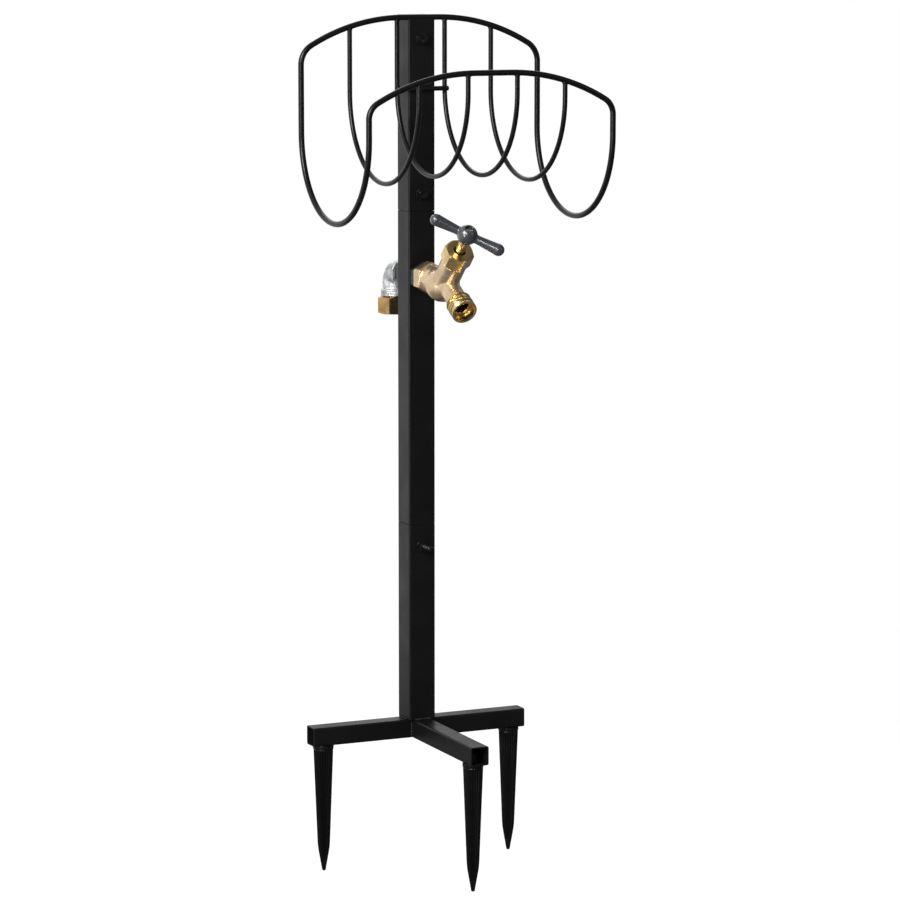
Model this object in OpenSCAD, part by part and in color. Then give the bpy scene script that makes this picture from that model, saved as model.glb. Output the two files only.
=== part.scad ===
// Hose holder post: a black square-tube stand with a T-shaped foot and ground spikes,
// a bent-wire rack at the top, and a faucet fed through the post from an inlet behind it.
// Millimetres. +Z is up, -Y is the front, where the rack and the faucet are. The origin is
// on the post's axis at ground level, which is the underside of the foot.

/* [Foot] */
// Outer width of the square foot tubes
foot_w = 20; // [18:0.5:24]
// Wall of the foot tubes
foot_wall = 1.5; // [1.2:0.1:2]
// Outer corner radius of the foot tubes
foot_corner_r = 2; // [1:0.1:3]
// Length of the cross bar, end to end
cross_bar_len = 245; // [235:5:320]
// Reach of the front arm in front of the post's axis
front_arm_reach = 160; // [156:2:200]

/* [Spikes] */
// Length of a spike below the foot
spike_len = 137; // [120:1:180]
// Diameter of a spike at its top
spike_d = 22; // [16:0.5:24]
// Diameter of a spike where its point begins
spike_waist_d = 13; // [8:0.5:14]
// Diameter of the blunt tip
spike_tip_d = 3.4; // [1.5:0.1:4]
// Height of the point at the lower end
spike_point_h = 27; // [15:1:40]
// Height of the plain collar under the foot
spike_collar_h = 4; // [2:0.5:8]
// Step in diameter below the collar and above the point
spike_step = 0.6; // [0.2:0.1:1.5]
// Flutes around a spike
spike_flutes = 20; // [12:1:24]
// Depth of a flute, as a part of the spike's radius
flute_depth = 0.11; // [0.05:0.01:0.2]
// Lean of a flute's sides, as a part of a quarter of its width
flute_lean = 0.15; // [0.05:0.05:0.3]
// Diameter of the spigot that plugs into the foot
spigot_d = 10; // [6:0.5:12]
// Height of the spigot inside the foot tube
spigot_h = 9; // [6:0.5:12]
// Clearance of the spigot in the foot tube, on the diameter
spigot_play = 0.2; // [0.1:0.05:0.4]
// Distance of the outer spikes from the ends of the cross bar
side_spike_inset = 14.5; // [12:0.5:40]
// Distance of the front spike from the end of the front arm
front_spike_inset = 17; // [12:0.5:40]

/* [Post] */
// Outer width of the square post tube
post_w = 30; // [28:0.5:34]
// Wall of the post tube
post_wall = 1.5; // [1.2:0.1:2]
// Outer corner radius of the post tube
post_corner_r = 2; // [1:0.1:3]
// Length of the lower section
lower_len = 210; // [150:5:300]
// Length of the middle section
middle_len = 331; // [280:1:400]
// Length of the upper section without its cap
upper_len = 200; // [190:0.5:260]
// Thickness of the cap's top plate
cap_plate_t = 3; // [2:0.1:4]
// Height of the cap's plug inside the tube
cap_plug_h = 36; // [33:1:50]
// Gap between a plug or connector and the tube, per side
insert_play = 0.25; // [0.1:0.05:0.4]
// Length of the connectors inside the joints
connector_len = 90; // [70:1:110]
// Wall of the connectors
connector_wall = 1.5; // [1:0.1:2.5]

/* [Bolts] */
// Bolt diameter
bolt_d = 6; // [5:0.5:7]
// Clearance of a bolt hole, on the diameter
bolt_play = 0.5; // [0.3:0.1:1]
// Width across flats of bolt heads and nuts
bolt_af = 10; // [9:0.5:12]
// Height of a bolt head
bolt_head_h = 4.5; // [3:0.5:6]
// Height of a nut
nut_h = 5; // [4:0.5:7]
// Outer diameter of a washer
washer_d = 13; // [12.5:0.5:15]
// Thickness of a washer
washer_t = 1.4; // [1:0.1:2]
// Thread left over behind the nut on the short bolts
bolt_tail = 2.5; // [1:0.5:5]
// Depth of the cap bolt below the top of the post
cap_bolt_drop = 25; // [20:0.5:28]
// Height of the upper joint bolt above the upper seam
upper_bolt_rise = 18; // [12:1:25]
// Depth of the lower joint bolt below the lower seam
lower_bolt_drop = 23; // [12:1:27]
// How far the lower joint bolt stands out of the front face
long_bolt_reach = 25; // [15:1:35]

/* [Rack] */
// Diameter of the hoop wire
hoop_d = 6; // [5:0.5:7]
// Diameter of the rib wire
rib_d = 5; // [4:0.5:5]
// Width of the hoop between the middles of its legs
rack_w = 268; // [250:2:320]
// Depth of the rack between the middles of its back and front wires
rack_depth = 176; // [150:2:220]
// Length of the flat stretch at the top of each arch
arch_flat = 40; // [36:1:96]
// Drop from the top of the back arch to its straight legs
back_arch_drop = 47.5; // [40:0.5:60]
// Drop from the top of the front arch to its straight legs
front_arch_drop = 44; // [40:0.5:60]
// Turn of the wide bend of an arch, in degrees
arch_turn = 30; // [25:1:34]
// Drop from the back arch to the front arch
front_drop = 51; // [40:1:60]
// How much narrower the mouth of the post's wire notch is than the wire
notch_grip = 0.5; // [0.3:0.1:1]
// Depth of the wire's middle behind the post's front and top faces
wire_inset = 2.5; // [2:0.1:3]
// Depth of the lowest wire of the hoop below the top of the post
hoop_sag = 206; // [200:1:240]
// Depth of the lowest wire of the inner ribs below the top of the post
inner_rib_sag = 161; // [155:1:180]
// Depth of the lowest wire of the outer ribs below the top of the post
outer_rib_sag = 167; // [160:1:185]
// Distance of the inner ribs from the middle
inner_rib_x = 27; // [22:1:34]
// Distance of the outer ribs from the middle
outer_rib_x = 80; // [65:1:95]
// Depth of the cross bar below the top of the post
cross_wire_drop = 76; // [60:1:78]
// How far the cross bar runs past the inner ribs
cross_wire_over = 2; // [1.5:0.5:8]

/* [Pipe] */
// Height of the pipe's axis below the upper seam
pipe_drop = 68.5; // [65:0.5:100]
// Outer diameter of the pipe nipple, 1/2 inch pipe
pipe_d = 21.3; // [20:0.1:21.5]
// Inner diameter of the pipe nipple
pipe_bore_d = 15.8; // [12:0.1:17]
// Clearance of the pipe's hole in the post, on the diameter
pipe_play = 0.7; // [0.4:0.1:1.5]
// Length of thread held by the faucet and by the elbow
thread_grip = 13; // [11:0.5:14]
// Width across flats of the locknuts
locknut_af = 27; // [26:0.5:36]
// Thickness of the locknuts
locknut_t = 7; // [5:0.5:9]
// Bare pipe between the front locknut and the faucet
front_bare_pipe = 4; // [1:0.5:6]
// Bare pipe between the back locknut and the elbow
back_bare_pipe = 9; // [1:0.5:12]

/* [Elbow] */
// Distance from the elbow's corner to each mouth
elbow_reach = 26.5; // [26.5:0.5:32]
// Radius of the elbow's bend
elbow_bend_r = 13; // [12.6:0.1:13.4]
// Outer diameter of the elbow's bend
elbow_d = 25; // [23:0.1:25]
// Outer diameter of the bands at its mouths
elbow_band_d = 29; // [27:0.5:32]
// Length of each band
elbow_band_h = 7; // [4:0.5:9]
// Inner diameter of the elbow's bend
elbow_bore_d = 17; // [14:0.5:18]

/* [Hose inlet] */
// Radius of the swivel nut's bore, 3/4 inch hose thread
inlet_r = 13.6; // [13.4:0.1:14]
// Width across flats of the swivel nut
swivel_af = 31; // [30.5:0.5:36]
// Turn of the swivel nut as it stands, in degrees
swivel_turn = 48; // [0:1:59]
// Height of the swivel nut
swivel_h = 18; // [18:0.5:25]
// Thickness of the swivel nut's inner lip
swivel_lip_t = 3; // [2:0.5:4]
// Depth of the groove that keeps the hose washer in the nut
washer_groove = 0.3; // [0.2:0.05:0.5]
// Running gap of the swivel
swivel_play = 0.35; // [0.3:0.05:0.5]
// Space between the elbow's mouth and the swivel nut
swivel_gap = 1; // [0.5:0.1:2]
// Thickness of the tail's flange
tail_flange_t = 2.5; // [2:0.5:4]
// Thickness of the rubber hose washer
hose_washer_t = 3; // [2:0.5:4]

/* [Faucet] */
// Distance from the collar's end to the point where the faucet's axes meet
faucet_reach = 48; // [42:1:52]
// Tilt of the stem above level, in degrees
stem_tilt = 44; // [38:1:46]
// Tilt of the outlet below level, in degrees
outlet_tilt = 30; // [28:1:45]
// Width across flats of the inlet collar
collar_af = 30; // [28:0.5:34]
// Length of the inlet collar
collar_h = 15; // [14.5:0.5:18]
// Outer diameter of the neck and of the stem barrel
neck_d = 27; // [25:0.5:28]
// Radius of the body's ball
ball_r = 18; // [17.7:0.1:19]
// Offset of the ball behind and below the meeting point
ball_shift = [7, 4];
// Diameter of the water way at the inlet
inlet_bore_d = 15; // [12:0.5:15]
// Metal left between the inlet's end and the meeting point
inlet_stop = 13.5; // [13.5:0.1:15]
// Radius of the chamber under the seat
under_chamber_r = 8; // [7.5:0.1:8]
// Depth of that chamber's middle under the meeting point
under_chamber_s = 15.5; // [15.2:0.1:16]
// Diameter of the seat's port
port_d = 11; // [9:0.5:12]
// Depth of the seat under the meeting point, along the stem
seat_depth = 6; // [5.5:0.1:6]
// Height and width of the seat's raised lip
seat_lip = 1; // [0.5:0.1:1]
// Diameter of the stem barrel's bore
barrel_bore_d = 20; // [19.5:0.1:21]
// Height of the barrel's shoulder along the stem
barrel_shoulder = 32; // [16:0.5:34]
// Height of the barrel's end along the stem
barrel_end = 43; // [29:0.5:46]
// Diameter of the thread that takes the bonnet nut
barrel_thread_d = 24; // [23.5:0.1:24.5]
// Outer diameter of the outlet barrel
outlet_d = 21.5; // [20:0.5:25]
// Radius of the outlet's hose thread, 3/4 inch hose thread
outlet_r = 13.4; // [13.2:0.1:13.6]
// Length of the outlet's hose thread
outlet_thread_h = 17; // [10:0.5:18]
// Distance of the outlet's mouth from the meeting point
outlet_reach = 55; // [34:0.5:58]
// Diameter of the outlet's bore
outlet_bore_d = 15; // [13:0.5:16]
// Diameter of the wider bore at the outlet's mouth
mouth_d = 22; // [18:0.5:23]
// Depth of the wider bore at the outlet's mouth
mouth_depth = 9; // [5:0.5:12]

/* [Valve stem] */
// Lead of the stem's thread, for each turn
stem_lead = 3; // [2:0.5:3]
// Turns from shut to fully open
open_turns = 2.5; // [2:0.5:2.5]
// Running gap around the stem
stem_play = 0.3; // [0.2:0.05:0.4]
// Diameter of the stem's shank
stem_d = 9.6; // [8:0.1:10]
// Height of the stem's threaded part above the meeting point
stem_thread_low = 9; // [5:0.5:10]
// Length of the stem's threaded part
stem_thread_h = 11; // [8:0.5:12]
// Radius of the rubber seat washer
seat_washer_r = 7.2; // [6.8:0.1:7.6]
// Thickness of the rubber seat washer
seat_washer_t = 3; // [2.5:0.1:3.5]
// Thickness of the cup that holds the seat washer
cup_t = 4; // [3:0.5:5]
// Width of the cup's rim around the seat washer
cup_rim = 1.4; // [1:0.1:1.6]
// Height of the cup's rim around the seat washer
cup_skirt = 1.5; // [1:0.1:2]
// Diameter of the screw that holds the seat washer
washer_screw_d = 3; // [2.5:0.1:4]
// Diameter of that screw's head
washer_screw_head_d = 6.6; // [5:0.2:8]
// Height of that screw's head
washer_screw_head_h = 2; // [1.5:0.1:2.5]
// Length of that screw inside the stem
washer_screw_grip = 8; // [6:0.5:10]
// Room left behind the end of a screw in the stem
screw_room = 1; // [0.5:0.1:2]
// Width across flats of the bonnet nut
bonnet_af = 28; // [27:0.5:32]
// Height of the bonnet nut
bonnet_h = 17; // [17:0.5:24]
// Thickness of the packing ring
packing_t = 4; // [3:0.5:4]
// Diameter of the opening in the bonnet nut's top
bonnet_hole_d = 13; // [11:0.5:15]

/* [Handle] */
// Height of the handle's hub along the stem
hub_s = 75; // [58:1:80]
// Radius of the hub
hub_r = 10.5; // [9.5:0.5:12]
// Distance of the stem's shoulder below the hub's middle
shoulder_drop = 8; // [7:0.5:9]
// Radius of the hub's skirt, which sits on that shoulder
hub_skirt_r = 7.2; // [6:0.1:8]
// Distance of each arm's end ball from the hub's middle
arm_reach = 35; // [26:1:38]
// Diameter of an arm at the hub
arm_root_d = 8; // [6:0.5:9]
// Diameter of the ball at an arm's end
arm_end_d = 12.6; // [10:0.2:14]
// Step in diameter from that ball to the arm
arm_step = 0.4; // [0.2:0.1:1]
// Turn of the shut handle about the stem, in degrees
handle_rest = -37; // [-45:1:45]
// Width of the square at the stem's end
drive_w = 6.2; // [5:0.1:6.4]
// Height of the square at the stem's end
drive_h = 10; // [8:0.5:11]
// Clearance of the square in the handle
drive_play = 0.2; // [0.1:0.05:0.4]
// Diameter of the handle screw
handle_screw_d = 4; // [3:0.5:4.5]
// Diameter of the handle screw's head
handle_screw_head_d = 8.4; // [7:0.2:9]
// Height of the handle screw's head
handle_screw_head_h = 2.4; // [2:0.1:3]
// Height of the handle screw's seat above the hub's middle
screw_seat_rise = 4.5; // [3.5:0.5:6]
// Clearance of the recess around the screw's head, on the diameter
recess_play = 1; // [0.5:0.1:2]

/* [Hidden] */
$fn = 48;
// Overshoot of a cutting shape past the face it cuts
over = 1;
// Chamfer of hexagons: its height and the round face it leaves, as parts of the width
// across flats, and the widening of its cone for its height
hex_chamfer = 0.06;
hex_face = 1.02;
hex_widening = 4;

// Places of the spikes
spike_x = cross_bar_len / 2 - side_spike_inset;
front_spike_y = -(front_arm_reach - front_spike_inset);

// Heights of the post's seams and ends
post_foot_z = foot_w;
lower_seam_z = post_foot_z + lower_len;
upper_seam_z = lower_seam_z + middle_len;
tube_top_z = upper_seam_z + upper_len;
post_top_z = tube_top_z + cap_plate_t;
half_post = post_w / 2;
post_inner_w = post_w - 2 * post_wall;
insert_w = post_inner_w - 2 * insert_play;

// Heights of the bolts
cap_bolt_z = post_top_z - cap_bolt_drop;
upper_bolt_z = upper_seam_z + upper_bolt_rise;
lower_bolt_z = lower_seam_z - lower_bolt_drop;
bolt_hole_d = bolt_d + bolt_play;
bolt_seat = half_post + washer_t;
short_bolt_len = 2 * bolt_seat + nut_h + bolt_tail;
long_bolt_len = bolt_seat + half_post + long_bolt_reach;

// Places of the rack's wires
half_rack = rack_w / 2;
back_y = -(half_post - wire_inset);
front_y = back_y - rack_depth;
bend_r = rack_depth / 2;
mid_rack_y = (back_y + front_y) / 2;
back_apex_z = post_top_z - wire_inset;
front_apex_z = back_apex_z - front_drop;
hoop_bend_z = post_top_z - hoop_sag + bend_r;
inner_bend_z = post_top_z - inner_rib_sag + bend_r;
outer_bend_z = post_top_z - outer_rib_sag + bend_r;
cross_wire_y = -(half_post + rib_d / 2);
cross_wire_z = post_top_z - cross_wire_drop;

// Ball that fills the joint where a wide bend runs into a tight one
knuckle_d = hoop_d + 0.1;
// Radii of an arch's wide and tight bends, which meet tangent at arch_turn
arch_span = half_rack - arch_flat / 2;
turn_sin = sin(arch_turn);
turn_cos = cos(arch_turn);
arch_det = turn_sin * turn_cos - (1 - turn_sin) * (1 - turn_cos);
function round_size(x) = round(100 * x) / 100;
function wide_r(drop) = round_size((arch_span * turn_cos - drop * (1 - turn_sin)) / arch_det);
function tight_r(drop) = round_size((drop * turn_sin - arch_span * (1 - turn_cos)) / arch_det);

// Places along the pipe, which lies along Y
pipe_z = upper_seam_z - pipe_drop;
pipe_hole_d = pipe_d + pipe_play;
elbow_mouth_y = half_post + locknut_t + back_bare_pipe;
elbow_y = elbow_mouth_y + elbow_reach;
elbow_mouth_z = pipe_z - elbow_reach;
collar_y = -(half_post + locknut_t + front_bare_pipe);
nipple_front_y = collar_y - thread_grip;
nipple_back_y = elbow_mouth_y + thread_grip;
hex = 1 / cos(30);

// Places down the hose inlet
swivel_top_z = elbow_mouth_z - swivel_gap;
swivel_low_z = swivel_top_z - swivel_h;
lip_low_z = swivel_top_z - swivel_lip_t;
flange_top_z = lip_low_z - swivel_play;
flange_low_z = flange_top_z - tail_flange_t;
hose_washer_z = flange_low_z - hose_washer_t;
tail_h = elbow_mouth_z + thread_grip - flange_low_z;
flange_r = inlet_r - swivel_play;
tail_bore_d = pipe_bore_d;
lip_r = pipe_d / 2 + swivel_play;

// Places along the stem, counted from the meeting point of the faucet's axes
meet_y = collar_y - faucet_reach;
washer_top_s = -seat_depth + seat_washer_t;
cup_top_s = washer_top_s + cup_t;
cup_r = seat_washer_r + stem_play + cup_rim;
bonnet_low_s = barrel_shoulder + 1;
bonnet_top_s = bonnet_low_s + bonnet_h;
stem_shoulder_s = hub_s - shoulder_drop;
screw_seat_s = hub_s + screw_seat_rise;

// Outline of a square with round corners
module round_square(w, r) {
    square([w - 2 * r, w], center = true);
    square([w, w - 2 * r], center = true);
    for (x = [-1, 1], y = [-1, 1])
        translate([x * (w / 2 - r), y * (w / 2 - r)]) circle(r = r);
}

// Square tube standing on its end
module square_tube(w, wall, r, len) {
    difference() {
        linear_extrude(len) round_square(w, r);
        translate([0, 0, -over]) linear_extrude(len + 2 * over) square(w - 2 * wall, center = true);
    }
}

// Upright ring
module ring(d, bore, h) {
    difference() {
        cylinder(d = d, h = h);
        translate([0, 0, -over]) cylinder(d = bore, h = h + 2 * over);
    }
}

// Upright hexagon with chamfered corners at the ends that are named
module hexagon(af, h, top = true, low = false) {
    cut = hex_chamfer * af;
    face = hex_face * af;
    wide = face + hex_widening * cut;
    intersection() {
        cylinder(d = af * hex, h = h, $fn = 6);
        union() {
            if (low) cylinder(d1 = face, d2 = wide, h = cut);
            translate([0, 0, low ? cut : 0])
                cylinder(d = wide, h = h - (top ? cut : 0) - (low ? cut : 0));
            if (top) translate([0, 0, h - cut]) cylinder(d1 = wide, d2 = face, h = cut);
        }
    }
}

// Frames that turn local +Z along -Y, +Y, the stem and the outlet
module facing_front(z) translate([0, 0, z]) rotate([90, 0, 0]) children();
module facing_back(z) translate([0, 0, z]) rotate([-90, 0, 0]) children();
module at_meeting() translate([0, meet_y, pipe_z]) children();
module along_stem(s = 0) at_meeting() rotate([90 - stem_tilt, 0, 0]) translate([0, 0, s]) children();
module along_outlet(s = 0) at_meeting() rotate([90 + outlet_tilt, 0, 0]) translate([0, 0, s]) children();

// Holes through both walls of the post
module bolt_hole(z) facing_front(z) cylinder(d = bolt_hole_d, h = post_w + 2 * over, center = true);
module pipe_hole() facing_front(pipe_z) cylinder(d = pipe_hole_d, h = post_w + 2 * over, center = true);

// Foot

module spike_hole(x, y)
    translate([x, y, -over]) cylinder(d = spigot_d + spigot_play, h = foot_wall + 2 * over);

module base_cross_bar() {
    color("#1d1d1f") difference() {
        translate([-cross_bar_len / 2, 0, foot_w / 2]) rotate([90, 0, 90])
            square_tube(foot_w, foot_wall, foot_corner_r, cross_bar_len);
        for (side = [-1, 1]) spike_hole(side * spike_x, 0);
    }
}

module base_front_arm() {
    color("#1d1d1f") difference() {
        translate([0, -foot_w / 2, foot_w / 2]) rotate([90, 0, 0])
            square_tube(foot_w, foot_wall, foot_corner_r, front_arm_reach - foot_w / 2);
        spike_hole(0, front_spike_y);
    }
}

// Outline with flutes: a crest and a valley, each with a flat, for every flute
function flute_r(k, r) = (k % 4 < 2) ? r : r * (1 - flute_depth);
function flute_a(k) = (k + (k % 2 == 0 ? flute_lean : -flute_lean)) * 90 / spike_flutes;
module fluted(d) polygon([for (k = [0:4 * spike_flutes - 1])
    flute_r(k, d / 2) * [cos(flute_a(k)), sin(flute_a(k))]]);

// Fluted stretch that narrows downwards from z
module fluted_taper(z, d1, d2, h)
    translate([0, 0, z]) mirror([0, 0, 1]) linear_extrude(h, scale = d2 / d1) fluted(d1);

module spike(x, y) {
    color("#222224") translate([x, y, 0]) {
        cylinder(d = spigot_d, h = foot_wall + spigot_h);
        translate([0, 0, -spike_collar_h]) cylinder(d = spike_d, h = spike_collar_h);
        fluted_taper(-spike_collar_h, spike_d - spike_step, spike_waist_d,
                     spike_len - spike_collar_h - spike_point_h);
        fluted_taper(spike_point_h - spike_len, spike_waist_d - spike_step, spike_tip_d, spike_point_h);
    }
}

// Post

module lower_post() {
    color("#1d1d1f") difference() {
        translate([0, 0, post_foot_z]) square_tube(post_w, post_wall, post_corner_r, lower_len);
        bolt_hole(lower_bolt_z);
    }
}

module middle_post() {
    color("#1d1d1f") difference() {
        translate([0, 0, lower_seam_z]) square_tube(post_w, post_wall, post_corner_r, middle_len);
        pipe_hole();
    }
}

// Round seat for the hoop wire across the top front edge, open towards the corner
module wire_notch() {
    len = post_w + 2 * over;
    mouth = hoop_d - notch_grip;
    translate([0, back_y, back_apex_z]) {
        rotate([0, 90, 0]) cylinder(d = hoop_d, h = len, center = true);
        rotate([45, 0, 0]) translate([-len / 2, -mouth / 2, 0]) cube([len, mouth, 2 * hoop_d]);
    }
}

module upper_post() {
    color("#1d1d1f") difference() {
        translate([0, 0, upper_seam_z]) square_tube(post_w, post_wall, post_corner_r, upper_len);
        bolt_hole(upper_bolt_z);
        bolt_hole(cap_bolt_z);
        wire_notch();
    }
}

// Connector that bridges a seam inside the post
module connector(seam_z, bolt_z) {
    color("#2a2a2c") difference() {
        translate([0, 0, seam_z - connector_len / 2])
            square_tube(insert_w, connector_wall, post_corner_r / 2, connector_len);
        bolt_hole(bolt_z);
    }
}

module post_cap() {
    color("#19191a") difference() {
        union() {
            translate([0, 0, tube_top_z]) linear_extrude(cap_plate_t) round_square(post_w, post_corner_r);
            translate([0, 0, tube_top_z - cap_plug_h])
                linear_extrude(cap_plug_h) round_square(insert_w, post_corner_r / 2);
        }
        bolt_hole(cap_bolt_z);
        wire_notch();
    }
}

// Rack

// Bent wire: part of a ring in the XY plane, from one angle to another
module bent_wire(d, r, from, to)
    rotate([0, 0, from]) rotate_extrude(angle = to - from) translate([r, 0]) circle(d = d);

// Arch of hoop wire in the plane Y = y, with its top at apex
module hoop_arch(y, apex, drop) {
    wide = wide_r(drop);
    tight = tight_r(drop);
    translate([0, y, apex]) {
        rotate([0, 90, 0]) cylinder(d = hoop_d, h = arch_flat, center = true);
        for (side = [0, 1]) mirror([side, 0, 0]) rotate([90, 0, 0]) {
            translate([-arch_flat / 2, -wide]) bent_wire(hoop_d, wide, 90, 90 + arch_turn);
            translate([half_rack - tight, -drop]) bent_wire(hoop_d, tight, 0, 90 - arch_turn);
            translate([half_rack - tight * (1 - turn_sin), tight * turn_cos - drop])
                rotate([0, 90, -arch_turn]) sphere(d = knuckle_d);
        }
    }
}

module back_arch() hoop_arch(back_y, back_apex_z, back_arch_drop);
module front_arch() hoop_arch(front_y, front_apex_z, front_arch_drop);

// Two legs and the round bend between them, in the plane X = x
module wire_cradle(d, x, bend_z, back_top, front_top) {
    translate([x, back_y, bend_z]) cylinder(d = d, h = back_top - bend_z);
    translate([x, front_y, bend_z]) cylinder(d = d, h = front_top - bend_z);
    translate([x, mid_rack_y, bend_z]) rotate([90, 0, 90]) bent_wire(d, bend_r, 180, 360);
}

// One closed wire: back arch, front arch, and a cradle at each side
module rack_hoop() {
    color("#1b1b1c") {
        back_arch();
        front_arch();
        for (side = [-1, 1])
            wire_cradle(hoop_d, side * half_rack, hoop_bend_z,
                        back_apex_z - back_arch_drop, front_apex_z - front_arch_drop);
    }
}

// Depth of an arch's wire below its top, at a distance from the middle
function arch_fall(x, wide) =
    abs(x) <= arch_flat / 2 ? 0 : wide - sqrt(pow(wide, 2) - pow(abs(x) - arch_flat / 2, 2));

// Rib, with its ends shaped to the wire of the two arches
module rib(x, bend_z) {
    color("#1b1b1c") difference() {
        wire_cradle(rib_d, x, bend_z, back_apex_z - arch_fall(x, wide_r(back_arch_drop)),
                    front_apex_z - arch_fall(x, wide_r(front_arch_drop)));
        back_arch();
        front_arch();
    }
}

module rack_cross_bar() {
    len = 2 * (inner_rib_x + cross_wire_over);
    color("#1b1b1c") translate([0, cross_wire_y, cross_wire_z])
        rotate([0, 90, 0]) cylinder(d = rib_d, h = len, center = true);
}

// Bolts

// Bolt with its head outwards at local +Z and a shank of the given length
module bolt(len) {
    translate([0, 0, bolt_seat]) hexagon(bolt_af, bolt_head_h);
    translate([0, 0, bolt_seat - len]) cylinder(d = bolt_d, h = len);
}

module cap_bolt() color("#111112") facing_front(cap_bolt_z) bolt(short_bolt_len);
module upper_joint_bolt() color("#111112") facing_front(upper_bolt_z) bolt(short_bolt_len);
module lower_joint_bolt() color("#111112") facing_back(lower_bolt_z) bolt(long_bolt_len);

module bolt_washers() {
    color("#161617") for (z = [cap_bolt_z, upper_bolt_z, lower_bolt_z]) {
        facing_front(z) translate([0, 0, half_post]) ring(washer_d, bolt_hole_d, washer_t);
        facing_back(z) translate([0, 0, half_post]) ring(washer_d, bolt_hole_d, washer_t);
    }
}

module nut() {
    translate([0, 0, bolt_seat]) difference() {
        hexagon(bolt_af, nut_h);
        translate([0, 0, -over]) cylinder(d = bolt_d, h = nut_h + 2 * over);
    }
}

module bolt_nuts() {
    color("#141415") {
        facing_back(cap_bolt_z) nut();
        facing_back(upper_bolt_z) nut();
        facing_front(lower_bolt_z) nut();
    }
}

// Pipe

module pipe_nipple() {
    len = nipple_back_y - nipple_front_y;
    color("#2c2c2e") facing_back(pipe_z) translate([0, 0, nipple_front_y]) ring(pipe_d, pipe_bore_d, len);
}

// Locknut that bears on the post, with two of its flats upright
module locknut() {
    color("#2a2a2c") translate([0, 0, half_post]) rotate([0, 0, 30]) difference() {
        hexagon(locknut_af, locknut_t);
        translate([0, 0, -over]) cylinder(d = pipe_d, h = locknut_t + 2 * over);
    }
}

module front_locknut() facing_front(pipe_z) locknut();
module pipe_locknut() facing_back(pipe_z) locknut();

// Bend and straight ends of the elbow, swept along its middle line
module elbow_sweep(d, ends) {
    straight = elbow_reach - elbow_bend_r;
    translate([0, elbow_y - elbow_bend_r, pipe_z - elbow_bend_r])
        rotate([90, 0, 90]) bent_wire(d, elbow_bend_r, 0, 90);
    translate([0, elbow_mouth_y - ends, pipe_z]) rotate([-90, 0, 0]) cylinder(d = d, h = straight + ends);
    translate([0, elbow_y, elbow_mouth_z - ends]) cylinder(d = d, h = straight + ends);
}

module elbow() {
    color("#b4b8ba") difference() {
        union() {
            elbow_sweep(elbow_d, 0);
            translate([0, elbow_mouth_y, pipe_z]) rotate([-90, 0, 0])
                cylinder(d = elbow_band_d, h = elbow_band_h);
            translate([0, elbow_y, elbow_mouth_z]) cylinder(d = elbow_band_d, h = elbow_band_h);
        }
        elbow_sweep(elbow_bore_d, over);
        translate([0, elbow_mouth_y - over, pipe_z]) rotate([-90, 0, 0])
            cylinder(d = pipe_d, h = thread_grip + over);
        translate([0, elbow_y, elbow_mouth_z - over]) cylinder(d = pipe_d, h = thread_grip + over);
    }
}

// Hose inlet

module swivel_tail() {
    color("#c39b4a") translate([0, elbow_y, 0]) difference() {
        union() {
            translate([0, 0, flange_low_z]) cylinder(r = flange_r, h = tail_flange_t);
            translate([0, 0, flange_low_z]) cylinder(d = pipe_d, h = tail_h);
        }
        translate([0, 0, flange_low_z - over]) cylinder(d = tail_bore_d, h = tail_h + 2 * over);
    }
}

module swivel_nut() {
    color("#b98a35") translate([0, elbow_y, swivel_low_z]) difference() {
        rotate([0, 0, swivel_turn]) hexagon(swivel_af, swivel_h, true, true);
        translate([0, 0, -over]) cylinder(r = inlet_r, h = swivel_h - swivel_lip_t);
        translate([0, 0, hose_washer_z - swivel_low_z])
            cylinder(r = inlet_r + washer_groove, h = lip_low_z - hose_washer_z);
        cylinder(r = lip_r, h = swivel_h + over);
    }
}

module hose_washer() {
    color("#26262a") translate([0, elbow_y, hose_washer_z])
        ring(2 * inlet_r + washer_groove, tail_bore_d, hose_washer_t - swivel_play);
}

// Faucet

// Cast outside of the faucet's body
module faucet_outside() {
    translate([0, collar_y, pipe_z]) rotate([90, 0, 0]) rotate([0, 0, 30]) hexagon(collar_af, collar_h);
    translate([0, collar_y, pipe_z]) rotate([90, 0, 0]) cylinder(d = neck_d, h = faucet_reach);
    at_meeting() translate([0, ball_shift[0], -ball_shift[1]]) sphere(r = ball_r);
    along_stem() cylinder(d = neck_d, h = barrel_shoulder);
    along_stem() cylinder(d = barrel_thread_d, h = barrel_end);
    along_outlet() cylinder(d = outlet_d, h = outlet_reach - over);
    along_outlet(outlet_reach - outlet_thread_h) cylinder(r = outlet_r, h = outlet_thread_h);
}

// Water way: inlet, chamber under the seat, port, chamber over the seat, outlet
module faucet_inside() {
    translate([0, collar_y + over, pipe_z]) rotate([90, 0, 0]) cylinder(d = pipe_d, h = thread_grip + over);
    translate([0, collar_y + over, pipe_z]) rotate([90, 0, 0])
        cylinder(d = inlet_bore_d, h = faucet_reach - inlet_stop + over);
    along_stem(-under_chamber_s) sphere(r = under_chamber_r);
    along_stem(-under_chamber_s) cylinder(d = port_d, h = under_chamber_s);
    difference() {
        along_stem(-seat_depth - seat_lip)
            cylinder(d = barrel_bore_d, h = barrel_end + seat_depth + 2 * over);
        along_stem(-seat_depth - seat_lip) cylinder(d = port_d + 4 * seat_lip, h = seat_lip);
    }
    along_outlet(barrel_bore_d / 2) cylinder(d = outlet_bore_d, h = outlet_reach);
    along_outlet(outlet_reach - mouth_depth) cylinder(d = mouth_d, h = mouth_depth + over);
}

module faucet_body() {
    color("#b08a57") difference() {
        faucet_outside();
        faucet_inside();
    }
}

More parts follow.
